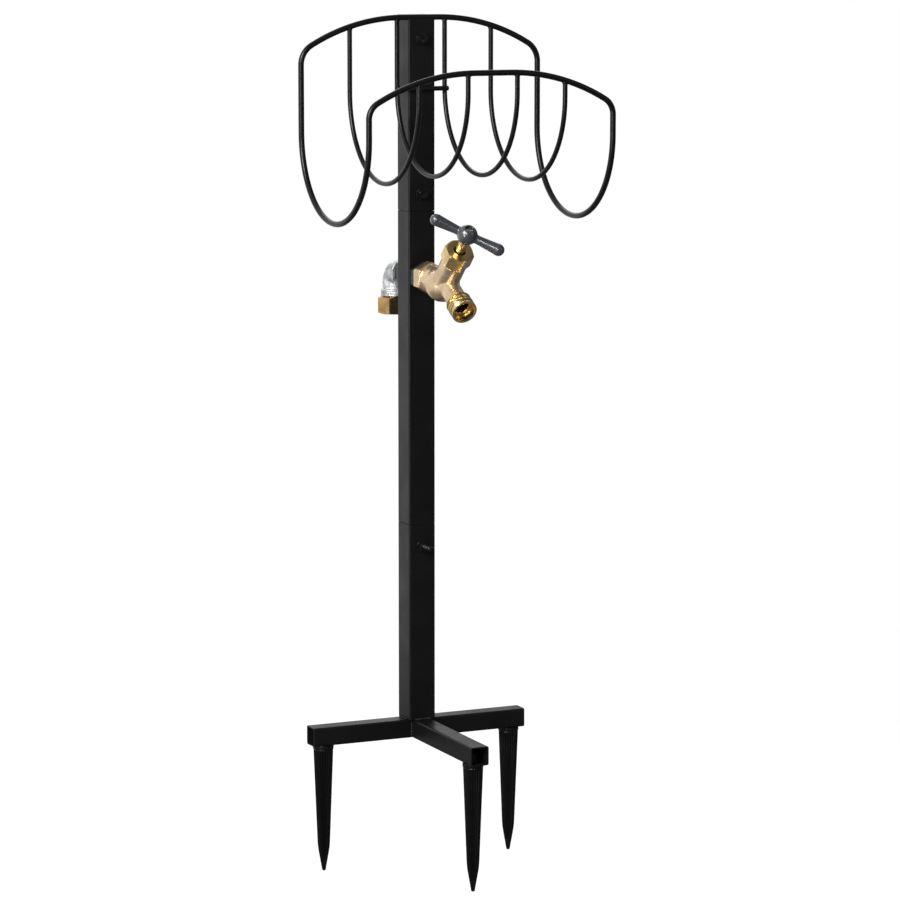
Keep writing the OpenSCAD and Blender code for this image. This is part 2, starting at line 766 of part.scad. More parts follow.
module bonnet_nut() {
    color("#c8a24d") along_stem(bonnet_low_s) rotate([0, 0, 30]) difference() {
        hexagon(bonnet_af, bonnet_h, true, true);
        translate([0, 0, -over])
            cylinder(d = barrel_thread_d, h = barrel_end + packing_t - bonnet_low_s + over);
        cylinder(d = bonnet_hole_d, h = bonnet_h + over);
    }
}

module packing_ring() {
    color("#3a3a3c") along_stem(barrel_end) ring(barrel_thread_d, stem_d + 2 * stem_play, packing_t);
}

// Stem: cup for the seat washer, threaded part, shank and square end
module stem() {
    color("#cba856") difference() {
        union() {
            along_stem(washer_top_s - cup_skirt) cylinder(r = cup_r, h = cup_t + cup_skirt);
            along_stem(washer_top_s) cylinder(d = stem_d, h = stem_shoulder_s - washer_top_s);
            along_stem(stem_thread_low) cylinder(d = barrel_bore_d - 2 * stem_play, h = stem_thread_h);
            along_stem(stem_shoulder_s) rotate([0, 0, handle_rest]) translate([-drive_w / 2, -drive_w / 2, 0])
                cube([drive_w, drive_w, drive_h]);
        }
        along_stem(washer_top_s - cup_skirt - over)
            cylinder(r = seat_washer_r + stem_play, h = cup_skirt + over);
        along_stem(washer_top_s - over)
            cylinder(d = washer_screw_d, h = washer_screw_grip + screw_room + over);
        along_stem(stem_shoulder_s) cylinder(d = handle_screw_d, h = drive_h + over);
    }
}

module seat_washer() {
    color("#2b2b2e") along_stem(-seat_depth)
        ring(2 * seat_washer_r, washer_screw_d + 2 * stem_play, seat_washer_t);
}

module washer_screw() {
    color("#c0a060") {
        along_stem(-seat_depth - washer_screw_head_h)
            cylinder(d = washer_screw_head_d, h = washer_screw_head_h);
        along_stem(-seat_depth) cylinder(d = washer_screw_d, h = seat_washer_t + washer_screw_grip);
    }
}

// T handle: a ball hub with two clubbed arms, and a recess for its screw
module handle() {
    color("#4b4d52") along_stem(hub_s) rotate([0, 0, handle_rest]) difference() {
        union() {
            sphere(r = hub_r);
            translate([0, 0, -shoulder_drop]) cylinder(r = hub_skirt_r, h = shoulder_drop);
            for (side = [-1, 1]) rotate([0, side * 90, 0]) {
                cylinder(d1 = arm_root_d, d2 = arm_end_d - arm_step, h = arm_reach);
                translate([0, 0, arm_reach]) sphere(d = arm_end_d);
            }
        }
        translate([0, 0, -shoulder_drop - hub_r]) cylinder(r = hub_r, h = hub_r);
        translate([0, 0, -shoulder_drop - over]) linear_extrude(drive_h + drive_play + over)
            square(drive_w + drive_play, center = true);
        cylinder(d = handle_screw_d + drive_play, h = 2 * hub_r);
        translate([0, 0, screw_seat_rise]) cylinder(d = handle_screw_head_d + recess_play, h = hub_r);
    }
}

module handle_screw() {
    color("#9a9ca0") {
        along_stem(screw_seat_s) cylinder(d = handle_screw_head_d, h = handle_screw_head_h);
        along_stem(stem_shoulder_s + screw_room)
            cylinder(d = handle_screw_d, h = screw_seat_s - stem_shoulder_s - screw_room);
    }
}

base_cross_bar();
base_front_arm();
spike(-spike_x, 0);  // spike_left
spike(spike_x, 0);  // spike_right
spike(0, front_spike_y);  // spike_front
lower_post();
middle_post();
upper_post();
connector(lower_seam_z, lower_bolt_z);  // lower_connector
connector(upper_seam_z, upper_bolt_z);  // upper_connector
post_cap();
rack_hoop();
rib(-outer_rib_x, outer_bend_z);  // rib_outer_left
rib(-inner_rib_x, inner_bend_z);  // rib_inner_left
rib(inner_rib_x, inner_bend_z);  // rib_inner_right
rib(outer_rib_x, outer_bend_z);  // rib_outer_right
rack_cross_bar();
cap_bolt();
upper_joint_bolt();
lower_joint_bolt();
bolt_washers();
bolt_nuts();
pipe_nipple();
front_locknut();
pipe_locknut();
faucet_body();
bonnet_nut();
packing_ring();
stem();
seat_washer();
washer_screw();
handle();
handle_screw();
elbow();
swivel_tail();
swivel_nut();
hose_washer();
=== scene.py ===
import math

import bmesh
import bpy
from mathutils import Matrix, Vector


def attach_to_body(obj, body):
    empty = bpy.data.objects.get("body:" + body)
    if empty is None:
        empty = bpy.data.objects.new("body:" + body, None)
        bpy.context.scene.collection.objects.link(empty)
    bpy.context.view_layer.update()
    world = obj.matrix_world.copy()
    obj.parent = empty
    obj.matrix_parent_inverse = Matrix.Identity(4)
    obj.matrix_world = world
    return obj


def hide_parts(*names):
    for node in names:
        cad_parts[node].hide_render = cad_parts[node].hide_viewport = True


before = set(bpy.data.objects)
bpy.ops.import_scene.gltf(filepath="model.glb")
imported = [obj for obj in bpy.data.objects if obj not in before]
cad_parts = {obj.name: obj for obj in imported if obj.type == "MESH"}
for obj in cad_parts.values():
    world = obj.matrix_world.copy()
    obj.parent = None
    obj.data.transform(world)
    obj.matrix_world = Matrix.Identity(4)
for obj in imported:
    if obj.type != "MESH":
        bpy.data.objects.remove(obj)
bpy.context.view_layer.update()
mm = 0.001

# Camera, at the photograph's angle

cameraPlace = {
    "azimuth": -24.45,
    "elevation": 8.2,
    "distance": 3.793,
    "target": (0.0116, -0.06, 0.3145),
    "lens": 145.64,
    "sensor": 36,
}


def placeCamera(s):
    turn, rise = math.radians(s["azimuth"]), math.radians(s["elevation"])
    level = math.cos(rise)
    forward = Vector((-math.sin(turn) * level, math.cos(turn) * level, -math.sin(rise)))
    data = bpy.data.cameras.new("camera")
    data.lens, data.sensor_width = s["lens"], s["sensor"]
    camera = bpy.data.objects.new("camera", data)
    camera.location = Vector(s["target"]) - forward * s["distance"]
    camera.rotation_euler = forward.to_track_quat("-Z", "Y").to_euler()
    bpy.context.scene.collection.objects.link(camera)
    bpy.context.scene.camera = camera


placeCamera(cameraPlace)
bpy.context.scene.view_settings.view_transform = "Standard"
print("camera placed")


# Node building, for materials and for Geometry Nodes


class Link:  # an output socket; sums on it add Math nodes
    def __init__(self, graph, socket):
        self.graph = graph
        self.socket = socket

    def math(self, operation, *others):
        return self.graph.math(operation, self, *others)

    def __add__(self, other):
        return self.graph.math("ADD", self, other)

    def __radd__(self, other):
        return self.graph.math("ADD", other, self)

    def __sub__(self, other):
        return self.graph.math("SUBTRACT", self, other)

    def __rsub__(self, other):
        return self.graph.math("SUBTRACT", other, self)

    def __mul__(self, other):
        return self.graph.math("MULTIPLY", self, other)

    def __rmul__(self, other):
        return self.graph.math("MULTIPLY", other, self)

    def __truediv__(self, other):
        return self.graph.math("DIVIDE", self, other)

    def __rtruediv__(self, other):
        return self.graph.math("DIVIDE", other, self)

    def __pow__(self, other):
        return self.graph.math("POWER", self, other)

    def __neg__(self):
        return self.graph.math("MULTIPLY", self, -1.0)


class Graph:  # adds nodes to one tree: settings first, then values and links of the sockets
    def __init__(self, tree):
        self.tree = tree

    def node(self, kind, settings=None, sockets=None, output=0):
        made = self.tree.nodes.new(kind)
        for name, value in (settings or {}).items():
            if name == "stops":
                ramp = made.color_ramp.elements
                while len(ramp) < len(value):
                    ramp.new(1.0)
                for stop, (place, colour) in zip(ramp, value):
                    stop.position, stop.color = place, (*colour, 1)
            else:
                setattr(made, name, value)
        for name, value in (sockets or {}).items():
            if isinstance(value, Link):
                self.tree.links.new(value.socket, made.inputs[name])
            else:
                made.inputs[name].default_value = value
        return Link(self, made.outputs[output])

    def math(self, operation, *values):
        return self.node("ShaderNodeMath", {"operation": operation}, dict(enumerate(values)))

    def parts(self, vector):  # the three numbers of a vector
        split = self.node("ShaderNodeSeparateXYZ", {}, {0: vector})
        outputs = split.socket.node.outputs
        return [Link(self, outputs[axis]) for axis in range(3)]

    def joined(self, x, y, z):
        return self.node("ShaderNodeCombineXYZ", {}, {0: x, 1: y, 2: z})

    def between(self, value, low, high, start=0.0, end=1.0):  # low..high mapped smoothly to start..end
        return self.node(
            "ShaderNodeMapRange",
            {"interpolation_type": "SMOOTHSTEP"},
            {"Value": value, 1: low, 2: high, 3: start, 4: end},
        )


# Studio: white to the camera, with a room that is light behind and dark in front for the reflections

studio = {
    "floorZ": -0.137,
    "floorSize": 30.0,
    "floorColour": (0.16, 0.16, 0.16),
    "floorLift": 0.9,  # what the floor near the object adds for the camera alone
    "shadowReach": 1.5,  # where the floor turns plain white
    "shadowFade": 0.35,  # the share of that reach where it begins to
    "roomLevel": 0.32,
    "roomFront": 0.1,
    "roomBack": 1.0,
    "roomTurn": 0.9,  # the room grows light along y - turn * x + rise * z
    "roomRise": 0.35,
    "roomSpan": (-0.4, 1.25),  # where that sum gives the front level and the back level
    "lampAim": (0, -0.05, 0.4),
    "lamps": [
        # place, size, watts
        ((-2.5, -1.5, 2.0), 1.5, 150),
        ((-1.7, -2.9, 1.3), 0.6, 26),
        ((-2.6, -1.7, 0.3), 0.5, 22),
        ((1.9, -2.6, 1.5), 1.2, 5),
        ((0.6, 2.6, 2.4), 2.8, 28),
    ],
}


def buildWorld(s):
    world = bpy.data.worlds.new("studio")
    world.use_nodes = True
    bpy.context.scene.world = world
    world.node_tree.nodes.clear()
    g = Graph(world.node_tree)
    rays = g.node("ShaderNodeLightPath").socket.node.outputs
    rayNames = ("Is Camera Ray", "Is Glossy Ray", "Is Transmission Ray")
    seen, glossy, through = [Link(g, rays[name]) for name in rayNames]
    x, y, z = g.parts(g.node("ShaderNodeTexCoord", {}, {}, "Generated"))
    toBack = y - s["roomTurn"] * x + s["roomRise"] * z
    backdrop = g.between(toBack, *s["roomSpan"], s["roomFront"], s["roomBack"])
    mirrored = glossy.math("MAXIMUM", through)
    room = mirrored * backdrop + (1 - mirrored) * s["roomLevel"]
    level = seen + (1 - seen) * room
    sky = g.node("ShaderNodeBackground", {}, {"Color": (1, 1, 1, 1), "Strength": level})
    out = world.node_tree.nodes.new("ShaderNodeOutputWorld")
    world.node_tree.links.new(sky.socket, out.inputs["Surface"])


def buildFloor(s):
    mesh = bpy.data.meshes.new("floor")
    half, level = s["floorSize"] / 2, s["floorZ"]
    corners = [(-half, -half, level), (half, -half, level), (half, half, level), (-half, half, level)]
    mesh.from_pydata(corners, [], [(0, 1, 2, 3)])
    floor = bpy.data.objects.new("floor", mesh)
    bpy.context.scene.collection.objects.link(floor)
    finish = bpy.data.materials.new("paleFloor")
    finish.use_nodes = True
    finish.node_tree.nodes.clear()
    g = Graph(finish.node_tree)
    x, y = g.parts(g.node("ShaderNodeTexCoord", {}, {}, "Object"))[:2]
    away = (x * x + y * y).math("SQRT")
    seen = g.node("ShaderNodeLightPath", {}, {}, "Is Camera Ray")
    toBack = (y - s["roomTurn"] * x) / away
    backdrop = g.between(toBack, *s["roomSpan"], s["roomFront"], s["roomBack"])
    farLevel = seen + (1 - seen) * backdrop
    white = (1, 1, 1, 1)
    lit = g.node("ShaderNodeBsdfDiffuse", {}, {"Color": (*s["floorColour"], 1)})
    lift = g.node("ShaderNodeEmission", {}, {"Color": white, "Strength": seen * s["floorLift"]})
    near = g.node("ShaderNodeAddShader", {}, {0: lit, 1: lift})
    far = g.node("ShaderNodeEmission", {}, {"Color": white, "Strength": farLevel})
    fade = g.between(away, s["shadowFade"] * s["shadowReach"], s["shadowReach"])
    both = g.node("ShaderNodeMixShader", {}, {0: fade, 1: near, 2: far})
    out = finish.node_tree.nodes.new("ShaderNodeOutputMaterial")
    finish.node_tree.links.new(both.socket, out.inputs["Surface"])
    mesh.materials.append(finish)


def buildLamps(s):
    for number, (place, size, watts) in enumerate(s["lamps"]):
        data = bpy.data.lights.new(f"lamp{number}", "AREA")
        data.shape, data.size, data.energy = "DISK", size, watts
        lamp = bpy.data.objects.new(f"lamp{number}", data)
        lamp.location = place
        aim = Vector(s["lampAim"]) - Vector(place)
        lamp.rotation_euler = aim.to_track_quat("-Z", "Y").to_euler()
        lamp.visible_camera = False
        bpy.context.scene.collection.objects.link(lamp)


buildWorld(studio)
buildFloor(studio)
buildLamps(studio)
print("studio built")


# Finishes

midTones = (0.3, 0.7)  # where most of a noise lies
mixedTones = (0.35, 0.65)  # the same for two noises mixed


def startFinish(name, fixed):  # fixed: plain values of the shader's sockets
    finish = bpy.data.materials.new(name)
    finish.use_nodes = True
    tree = finish.node_tree
    tree.nodes.clear()
    shader = tree.nodes.new("ShaderNodeBsdfPrincipled")
    out = tree.nodes.new("ShaderNodeOutputMaterial")
    tree.links.new(shader.outputs[0], out.inputs["Surface"])
    for socket, value in fixed.items():
        shader.inputs[socket].default_value = value
    g = Graph(tree)
    return finish, g, shader, g.node("ShaderNodeTexCoord", {}, {}, "Object")


def noise(g, place, scale, detail=2.0, rough=0.5):
    values = {"Vector": place, "Scale": scale, "Detail": detail, "Roughness": rough}
    return g.node("ShaderNodeTexNoise", {}, values)


def blended(g, factor, first, second):
    return g.node("ShaderNodeMix", {"data_type": "RGBA"}, {0: factor, 6: (*first, 1), 7: (*second, 1)}, 2)


def bumped(g, height, depth):
    return g.node("ShaderNodeBump", {}, {"Height": height, "Distance": depth, "Strength": 1.0})


def attach(g, shader, colour, roughness, normal):
    for name, link in (("Base Color", colour), ("Roughness", roughness), ("Normal", normal)):
        g.tree.links.new(link.socket, shader.inputs[name])


coatTexture = {"cloudScale": 26.0, "gritPerPeel": 4.5, "specks": (0.68, 0.78)}


def coatFinish(name, s):  # satin powder coat: faint orange peel, cloudy gloss, a few light specks
    finish, g, shader, place = startFinish(name, {"Specular IOR Level": s["specular"], "Metallic": 0.0})
    cloud = noise(g, place, s["cloudScale"], 3.0)
    peel = noise(g, place, s["peelScale"], 1.0)
    grit = noise(g, place, s["peelScale"] * s["gritPerPeel"], 0.0)
    speck = g.between(grit, *s["specks"])
    colour = blended(g, cloud * 0.8 + speck * 0.5, s["dark"], s["light"])
    roughness = g.between(cloud, *midTones, *s["rough"])
    attach(g, shader, colour, roughness, bumped(g, peel + grit * 0.25, s["peelDepth"]))
    return finish


postCoat = coatFinish("powderCoat", {
    **coatTexture,
    "dark": (0.003, 0.003, 0.0032), "light": (0.0055, 0.0055, 0.0058), "specular": 0.16,
    "rough": (0.34, 0.46), "peelScale": 620.0, "peelDepth": 0.00006,
})
wireCoat = coatFinish("wireCoat", {
    **coatTexture,
    "dark": (0.0025, 0.0025, 0.0027), "light": (0.0045, 0.0045, 0.0048), "specular": 0.2,
    "rough": (0.26, 0.36), "peelScale": 760.0, "peelDepth": 0.00002,
})


mouldedTexture = {"fineScale": 1500.0, "flowAcross": 60.0, "flowAlong": 9.0}


def mouldedFinish(name, s):  # moulded plastic or rubber: fine texture, with clouds drawn out along Z
    finish, g, shader, place = startFinish(name, {"Specular IOR Level": s["specular"]})
    fine = noise(g, place, s["fineScale"], 1.0)
    x, y, z = g.parts(place)
    stretched = g.joined(x * s["flowAcross"], y * s["flowAcross"], z * s["flowAlong"])
    flow = noise(g, stretched, 1.0, 3.0)
    colour = blended(g, flow, s["dark"], s["light"])
    attach(g, shader, colour, g.between(flow, *midTones, *s["rough"]), bumped(g, fine, s["grain"]))
    return finish


spikePlastic = mouldedFinish("spikePlastic", {
    **mouldedTexture,
    "dark": (0.0015, 0.0015, 0.0015), "light": (0.0035, 0.0035, 0.0035), "specular": 0.24,
    "rough": (0.2, 0.34), "grain": 0.00002,
})
capPlastic = mouldedFinish("capPlastic", {
    **mouldedTexture,
    "dark": (0.003, 0.003, 0.003), "light": (0.006, 0.006, 0.006), "specular": 0.14,
    "rough": (0.4, 0.52), "grain": 0.00002,
})
rubber = mouldedFinish("blackRubber", {
    **mouldedTexture,
    "dark": (0.012, 0.012, 0.013), "light": (0.022, 0.022, 0.023), "specular": 0.25,
    "rough": (0.6, 0.75), "grain": 0.00003,
})


steelTexture = {"fineScale": 1400.0, "clouds": (0.32, 0.68)}


def steelFinish(name, s):  # plated or blackened steel, cloudy with a fine grain
    fixed = {"Metallic": s["metal"], "Specular IOR Level": s["specular"]}
    finish, g, shader, place = startFinish(name, fixed)
    cloud = noise(g, place, s["cloudScale"], 4.0, 0.6)
    fine = noise(g, place, s["fineScale"], 2.0)
    colour = blended(g, g.between(cloud, *s["clouds"]), s["dark"], s["light"])
    roughness = g.between(fine * 0.4 + cloud * 0.6, *midTones, *s["rough"])
    attach(g, shader, colour, roughness, bumped(g, fine, s["grain"]))
    return finish


blackBolt = steelFinish("blackBolt", {
    **steelTexture,
    "dark": (0.0025, 0.0025, 0.0027), "light": (0.006, 0.006, 0.0064), "metal": 0.0, "specular": 0.2,
    "cloudScale": 180.0, "rough": (0.24, 0.36), "grain": 0.00002,
})
blackPipe = steelFinish("blackPipe", {
    **steelTexture,
    "dark": (0.014, 0.014, 0.015), "light": (0.05, 0.05, 0.054), "metal": 0.7, "specular": 0.4,
    "cloudScale": 120.0, "rough": (0.32, 0.5), "grain": 0.00003,
})
connectorSteel = steelFinish("connectorSteel", {
    **steelTexture,
    "dark": (0.03, 0.03, 0.032), "light": (0.07, 0.07, 0.073), "metal": 0.6, "specular": 0.4,
    "cloudScale": 60.0, "rough": (0.45, 0.6), "grain": 0.00003,
})
zincSteel = steelFinish("zincSteel", {
    **steelTexture,
    "dark": (0.34, 0.35, 0.36), "light": (0.6, 0.61, 0.62), "metal": 1.0, "specular": 0.5,
    "cloudScale": 200.0, "rough": (0.22, 0.38), "grain": 0.00002,
})


def galvanisedFinish(name, s):  # hot-dipped malleable iron: spangled zinc over a sand-cast skin
    finish, g, shader, place = startFinish(name, {"Metallic": s["metal"], "Specular IOR Level": 0.5})
    warp = noise(g, place, s["warpScale"], 2.0)
    cells = {"Vector": place, "Scale": s["spangleScale"], "Smoothness": 0.3}
    spangle = g.node("ShaderNodeTexVoronoi", {"feature": "SMOOTH_F1"}, cells)
    patch = noise(g, place, s["patchScale"], 5.0, 0.62)
    skin = noise(g, place, s["skinScale"], 4.0, 0.6)
    tone = patch * 0.8 + spangle * 0.28 + warp * 0.3 - 0.2
    colour = g.node("ShaderNodeValToRGB", {"stops": s["stops"]}, {0: tone})
    roughness = g.between(patch, *midTones, *s["rough"])
    attach(g, shader, colour, roughness, bumped(g, skin + patch * 0.8, s["castDepth"]))
    return finish


galvanised = galvanisedFinish("galvanised", {
    "metal": 0.78, "spangleScale": 330.0, "warpScale": 160.0, "patchScale": 95.0, "skinScale": 420.0,
    "castDepth": 0.00022, "rough": (0.32, 0.55),
    "stops": [
        (0.25, (0.15, 0.155, 0.16)), (0.45, (0.36, 0.37, 0.38)),
        (0.62, (0.54, 0.55, 0.56)), (0.8, (0.72, 0.73, 0.74)),
    ],
})


def castFinish(name, s):  # sand-cast bronze: soft grain, darker in patches, with a parting line on x = 0
    finish, g, shader, place = startFinish(name, {"Metallic": s["metal"], "Specular IOR Level": 0.5})
    x = g.parts(place)[0]
    patch = noise(g, place, s["patchScale"], 4.0, 0.6)
    sand = noise(g, place, s["sandScale"], 3.0, 0.6)
    lump = noise(g, place, s["lumpScale"], 2.0)
    parting = 1 - g.between(x.math("ABSOLUTE"), *s["parting"])
    tone = patch * 0.7 + sand * 0.4 - 0.05
    colour = g.node("ShaderNodeValToRGB", {"stops": s["stops"]}, {0: tone})
    roughness = g.between(sand * 0.5 + patch * 0.5, *mixedTones, *s["rough"])
    skin = sand * 0.5 + lump * 0.8 + parting * 0.9
    attach(g, shader, colour, roughness, bumped(g, skin, s["castDepth"]))
    return finish


castBronze = castFinish("castBronze", {
    "metal": 0.9, "patchScale": 75.0, "sandScale": 900.0, "lumpScale": 260.0, "parting": (0.0002, 0.0007),
    "castDepth": 0.00012, "rough": (0.24, 0.36),
    "stops": [(0.2, (0.31, 0.21, 0.12)), (0.5, (0.6, 0.45, 0.29)), (0.75, (0.86, 0.7, 0.49))],
})


turnedTexture = {
    "ringScale": 2600.0, "ringDepth": 0.00002, "tarnishScale": 90.0, "tarnished": (0.3, 0.72),
}


def turnedFinish(name, s):  # brass turned about an axis: fine rings on the faces and walls
    finish, g, shader, place = startFinish(name, {"Metallic": 1.0})
    x, y, z = g.parts(place)
    dx, dy, dz = s["axis"]
    ox, oy, oz = s["centre"]
    along = (x - ox) * dx + (y - oy) * dy + (z - oz) * dz
    px, py, pz = x - ox - along * dx, y - oy - along * dy, z - oz - along * dz
    away = (px * px + py * py + pz * pz).math("SQRT")
    lathe = {"W": along * s["ringScale"] + away * s["ringScale"], "Detail": 2.0}
    rings = g.node("ShaderNodeTexNoise", {"noise_dimensions": "1D"}, lathe)
    tarnish = noise(g, place, s["tarnishScale"], 4.0, 0.6)
    colour = blended(g, g.between(tarnish, *s["tarnished"]), s["light"], s["dark"])
    roughness = g.between(tarnish * 0.5 + rings * 0.5, *mixedTones, *s["rough"])
    attach(g, shader, colour, roughness, bumped(g, rings, s["ringDepth"]))
    return finish


faucetPlace = {  # mm and degrees
    "pipeZ": 492.5, "collarY": -26.0, "meetY": -74.0, "stemTilt": 44.0, "outletTilt": 30.0,
}
meetPoint = (0, faucetPlace["meetY"], faucetPlace["pipeZ"])  # where the faucet's axes meet
meet = Vector(meetPoint) * mm


def forwardAxis(rise):  # direction to the front, raised by an angle
    return Vector((0, -math.cos(math.radians(rise)), math.sin(math.radians(rise))))


stemAxis, outletAxis = forwardAxis(faucetPlace["stemTilt"]), forwardAxis(-faucetPlace["outletTilt"])
brassTone = {
    **turnedTexture, "light": (0.8, 0.61, 0.3), "dark": (0.58, 0.4, 0.16), "rough": (0.2, 0.34),
}
stemBrass = turnedFinish("stemBrass", {**brassTone, "axis": stemAxis, "centre": meet})
outletBrass = turnedFinish("outletBrass", {**brassTone, "axis": outletAxis, "centre": meet})
inletBrass = turnedFinish("inletBrass", {
    **turnedTexture,
    "light": (0.56, 0.37, 0.15), "dark": (0.32, 0.2, 0.075), "rough": (0.18, 0.32),
    "axis": (0, 0, 1), "centre": (0, 0.0575, 0),
})


def enamelFinish(name, s):  # thick glossy paint over a casting
    fixed = {"Coat Weight": s["coat"], "Coat Roughness": s["coatRough"], "Specular IOR Level": 0.5}
    finish, g, shader, place = startFinish(name, fixed)
    cloud = noise(g, place, s["cloudScale"], 3.0)
    skin = noise(g, place, s["skinScale"], 2.0)
    colour = blended(g, cloud, s["dark"], s["light"])
    attach(g, shader, colour, g.between(skin, *midTones, *s["rough"]), bumped(g, skin, s["skinDepth"]))
    return finish


handlePaint = enamelFinish("handlePaint", {
    "dark": (0.018, 0.02, 0.024), "light": (0.04, 0.043, 0.05), "rough": (0.2, 0.32),
    "coat": 0.7, "coatRough": 0.2, "cloudScale": 60.0, "skinScale": 420.0, "skinDepth": 0.0003,
})
print("finishes made")


# Meshes


def place(origin, turnX=0.0, turnZ=0.0):  # frame at origin in mm, turned about X after a turn about its own Z
    aboutX = Matrix.Rotation(math.radians(turnX), 4, "X")
    aboutZ = Matrix.Rotation(math.radians(turnZ), 4, "Z")
    return Matrix.Translation(Vector(origin) * mm) @ aboutX @ aboutZ


def onStem(turnZ=0.0):  # frame on the stem's axis, with its Z out of the faucet
    return place(meetPoint, 90 - faucetPlace["stemTilt"], turnZ)


def onOutlet():  # the same on the outlet's axis
    return place(meetPoint, 90 + faucetPlace["outletTilt"])


def lifted(height):  # a move along the frame's own Z, in mm
    return Matrix.Translation(Vector((0, 0, height)) * mm)


def around(columns):  # even angles round a circle
    return [2 * math.pi * k / columns for k in range(columns)]


def addObject(name, mesh, finish=None):
    obj = bpy.data.objects.new(name, mesh)
    bpy.context.scene.collection.objects.link(obj)
    if finish:
        mesh.materials.clear()
        mesh.materials.append(finish)
    return obj


def meshObject(name, mesh, finish):  # an object from a bmesh, which is freed
    made = bpy.data.meshes.new(name)
    mesh.to_mesh(made)
    mesh.free()
    return addObject(name, made, finish)


def flatten(obj):  # the mesh that the modifiers make, with the modifiers gone
    bpy.context.view_layer.update()
    view = bpy.context.evaluated_depsgraph_get()
    shown = obj.evaluated_get(view)
    mesh = bpy.data.meshes.new_from_object(shown, preserve_all_data_layers=True, depsgraph=view)
    obj.modifiers.clear()
    obj.data = mesh
    return obj


def smoothed(obj, angle=32):  # shaded smooth, apart from edges over the angle
    obj.data.shade_smooth()
    obj.data.set_sharp_from_angle(angle=math.radians(angle))
    return obj


def bevelled(obj, width):  # edges rounded off by a width in mm
    bevel = obj.modifiers.new("edge", "BEVEL")
    bevel.width, bevel.segments, bevel.limit_method = width * mm, 2, "ANGLE"
    bevel.angle_limit = math.radians(30)
    bevel.use_clamp_overlap = True
    return flatten(obj)


def evened(obj):  # wide faces shade flat, right up to their rounded edges
    weigh = obj.modifiers.new("even", "WEIGHTED_NORMAL")
    weigh.keep_sharp, weigh.weight = True, 80
    return flatten(obj)


def seat(obj, body, slot, *nodes):  # the body it rides on, a material slot that is not used, and the solids it replaces
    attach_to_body(obj, body)
    if nodes:
        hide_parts(*nodes)
    return obj


def join(name, objects, finish):  # one piece from several, which are removed
    mesh = bmesh.new()
    for obj in objects:
        mesh.from_mesh(obj.data)
    for face in mesh.faces:
        face.material_index = 0
    made = meshObject(name, mesh, finish)
    for obj in objects:
        bpy.data.objects.remove(obj)
    return made


def block(name, where, sides, finish):  # a box about the frame's origin, with its sides in mm
    mesh = bmesh.new()
    bmesh.ops.create_cube(mesh, size=1.0)
    mesh.transform(where @ Matrix.Diagonal((*(side * mm for side in sides), 1)))
    return meshObject(name, mesh, finish)


def rounded(points, radius, steps=4):  # closed profile in mm; a point's third number is its own radius
    line, count = [], len(points)
    for i, point in enumerate(points):
        here = Vector(point[:2])
        size = point[2] if len(point) > 2 else radius
        before, after = Vector(points[i - 1][:2]) - here, Vector(points[(i + 1) % count][:2]) - here
        cut = min(size, before.length * 0.45, after.length * 0.45)
        if cut < 0.01:
            line.append(tuple(here))
            continue
        start, end = here + before.normalized() * cut, here + after.normalized() * cut
        for k in range(steps + 1):
            t = k / steps
            line.append(tuple(start * (1 - t) ** 2 + here * (2 * t * (1 - t)) + end * t ** 2))
    return line


def skinned(name, grid, where, finish):  # skin over rows of points in metres, closed both ways
    mesh = bmesh.new()
    rows = [[mesh.verts.new(point) for point in line] for line in grid]
    for low, high in zip(rows, rows[1:] + rows[:1]):
        for j in range(len(low)):
            k = (j + 1) % len(low)
            mesh.faces.new((low[j], low[k], high[k], high[j]))
    bmesh.ops.remove_doubles(mesh, verts=mesh.verts, dist=1e-6)
    bmesh.ops.dissolve_degenerate(mesh, edges=mesh.edges, dist=1e-6)
    bmesh.ops.recalc_face_normals(mesh, faces=mesh.faces)
    mesh.transform(where)
    return meshObject(name, mesh, finish)


def wrapped(name, rows, angles, where, finish):  # rows: (radius, height) in mm, or a function of the angle
    grid = []
    for row in rows:
        line = []
        for angle in angles:
            radius, height = row(angle) if callable(row) else row
            line.append((radius * mm * math.cos(angle), radius * mm * math.sin(angle), height * mm))
        grid.append(line)
    return skinned(name, grid, where, finish)


def turned(name, profile, where, finish, columns=96):  # a lathe piece from a closed profile
    return smoothed(wrapped(name, profile, around(columns), where, finish))


def threadedRows(radius, depth, pitch, start, end, perTurn=10):  # rows of a screw thread from start to end
    rows, count = [], max(int(abs(end - start) / pitch * perTurn), 2)
    for k in range(count + 1):
        height = start + (end - start) * k / count
        fade = min(1.0, abs(height - start) / (0.7 * pitch), abs(end - height) / (0.7 * pitch))

        def row(angle, height=height, fade=fade):  # flat crests and roots, with slopes between them
            phase = (height / pitch - angle / (2 * math.pi)) % 1.0
            crest = min(max(2.2 - abs(phase - 0.5) * 6.0, 0.0), 1.0)
            return radius - depth + depth * crest * fade, height

        rows.append(row)
    return rows


# Hexagons: nuts, bolt heads and the swivel

hexSteps = (-30, -22, -15, -10, -7, -5, -3.5, -2, 0, 2, 3.5, 5, 7, 10, 15, 22)  # close together at a corner
hexAngles = [math.radians(60 * side + step) for side in range(6) for step in hexSteps]


def hexReach(angle, flats, corner):  # distance to the side of a hexagon with rounded corners
    turn = (angle + math.pi / 6) % (math.pi / 3) - math.pi / 6
    middle = (flats / 2 - corner) / math.cos(math.pi / 6)
    edge = math.atan2(corner / 2, middle + corner * math.cos(math.pi / 6))
    if abs(turn) < edge:
        return middle * math.cos(turn) + math.sqrt(max(corner ** 2 - (middle * math.sin(turn)) ** 2, 0))
    return flats / 2 / math.cos(math.pi / 6 - abs(turn))


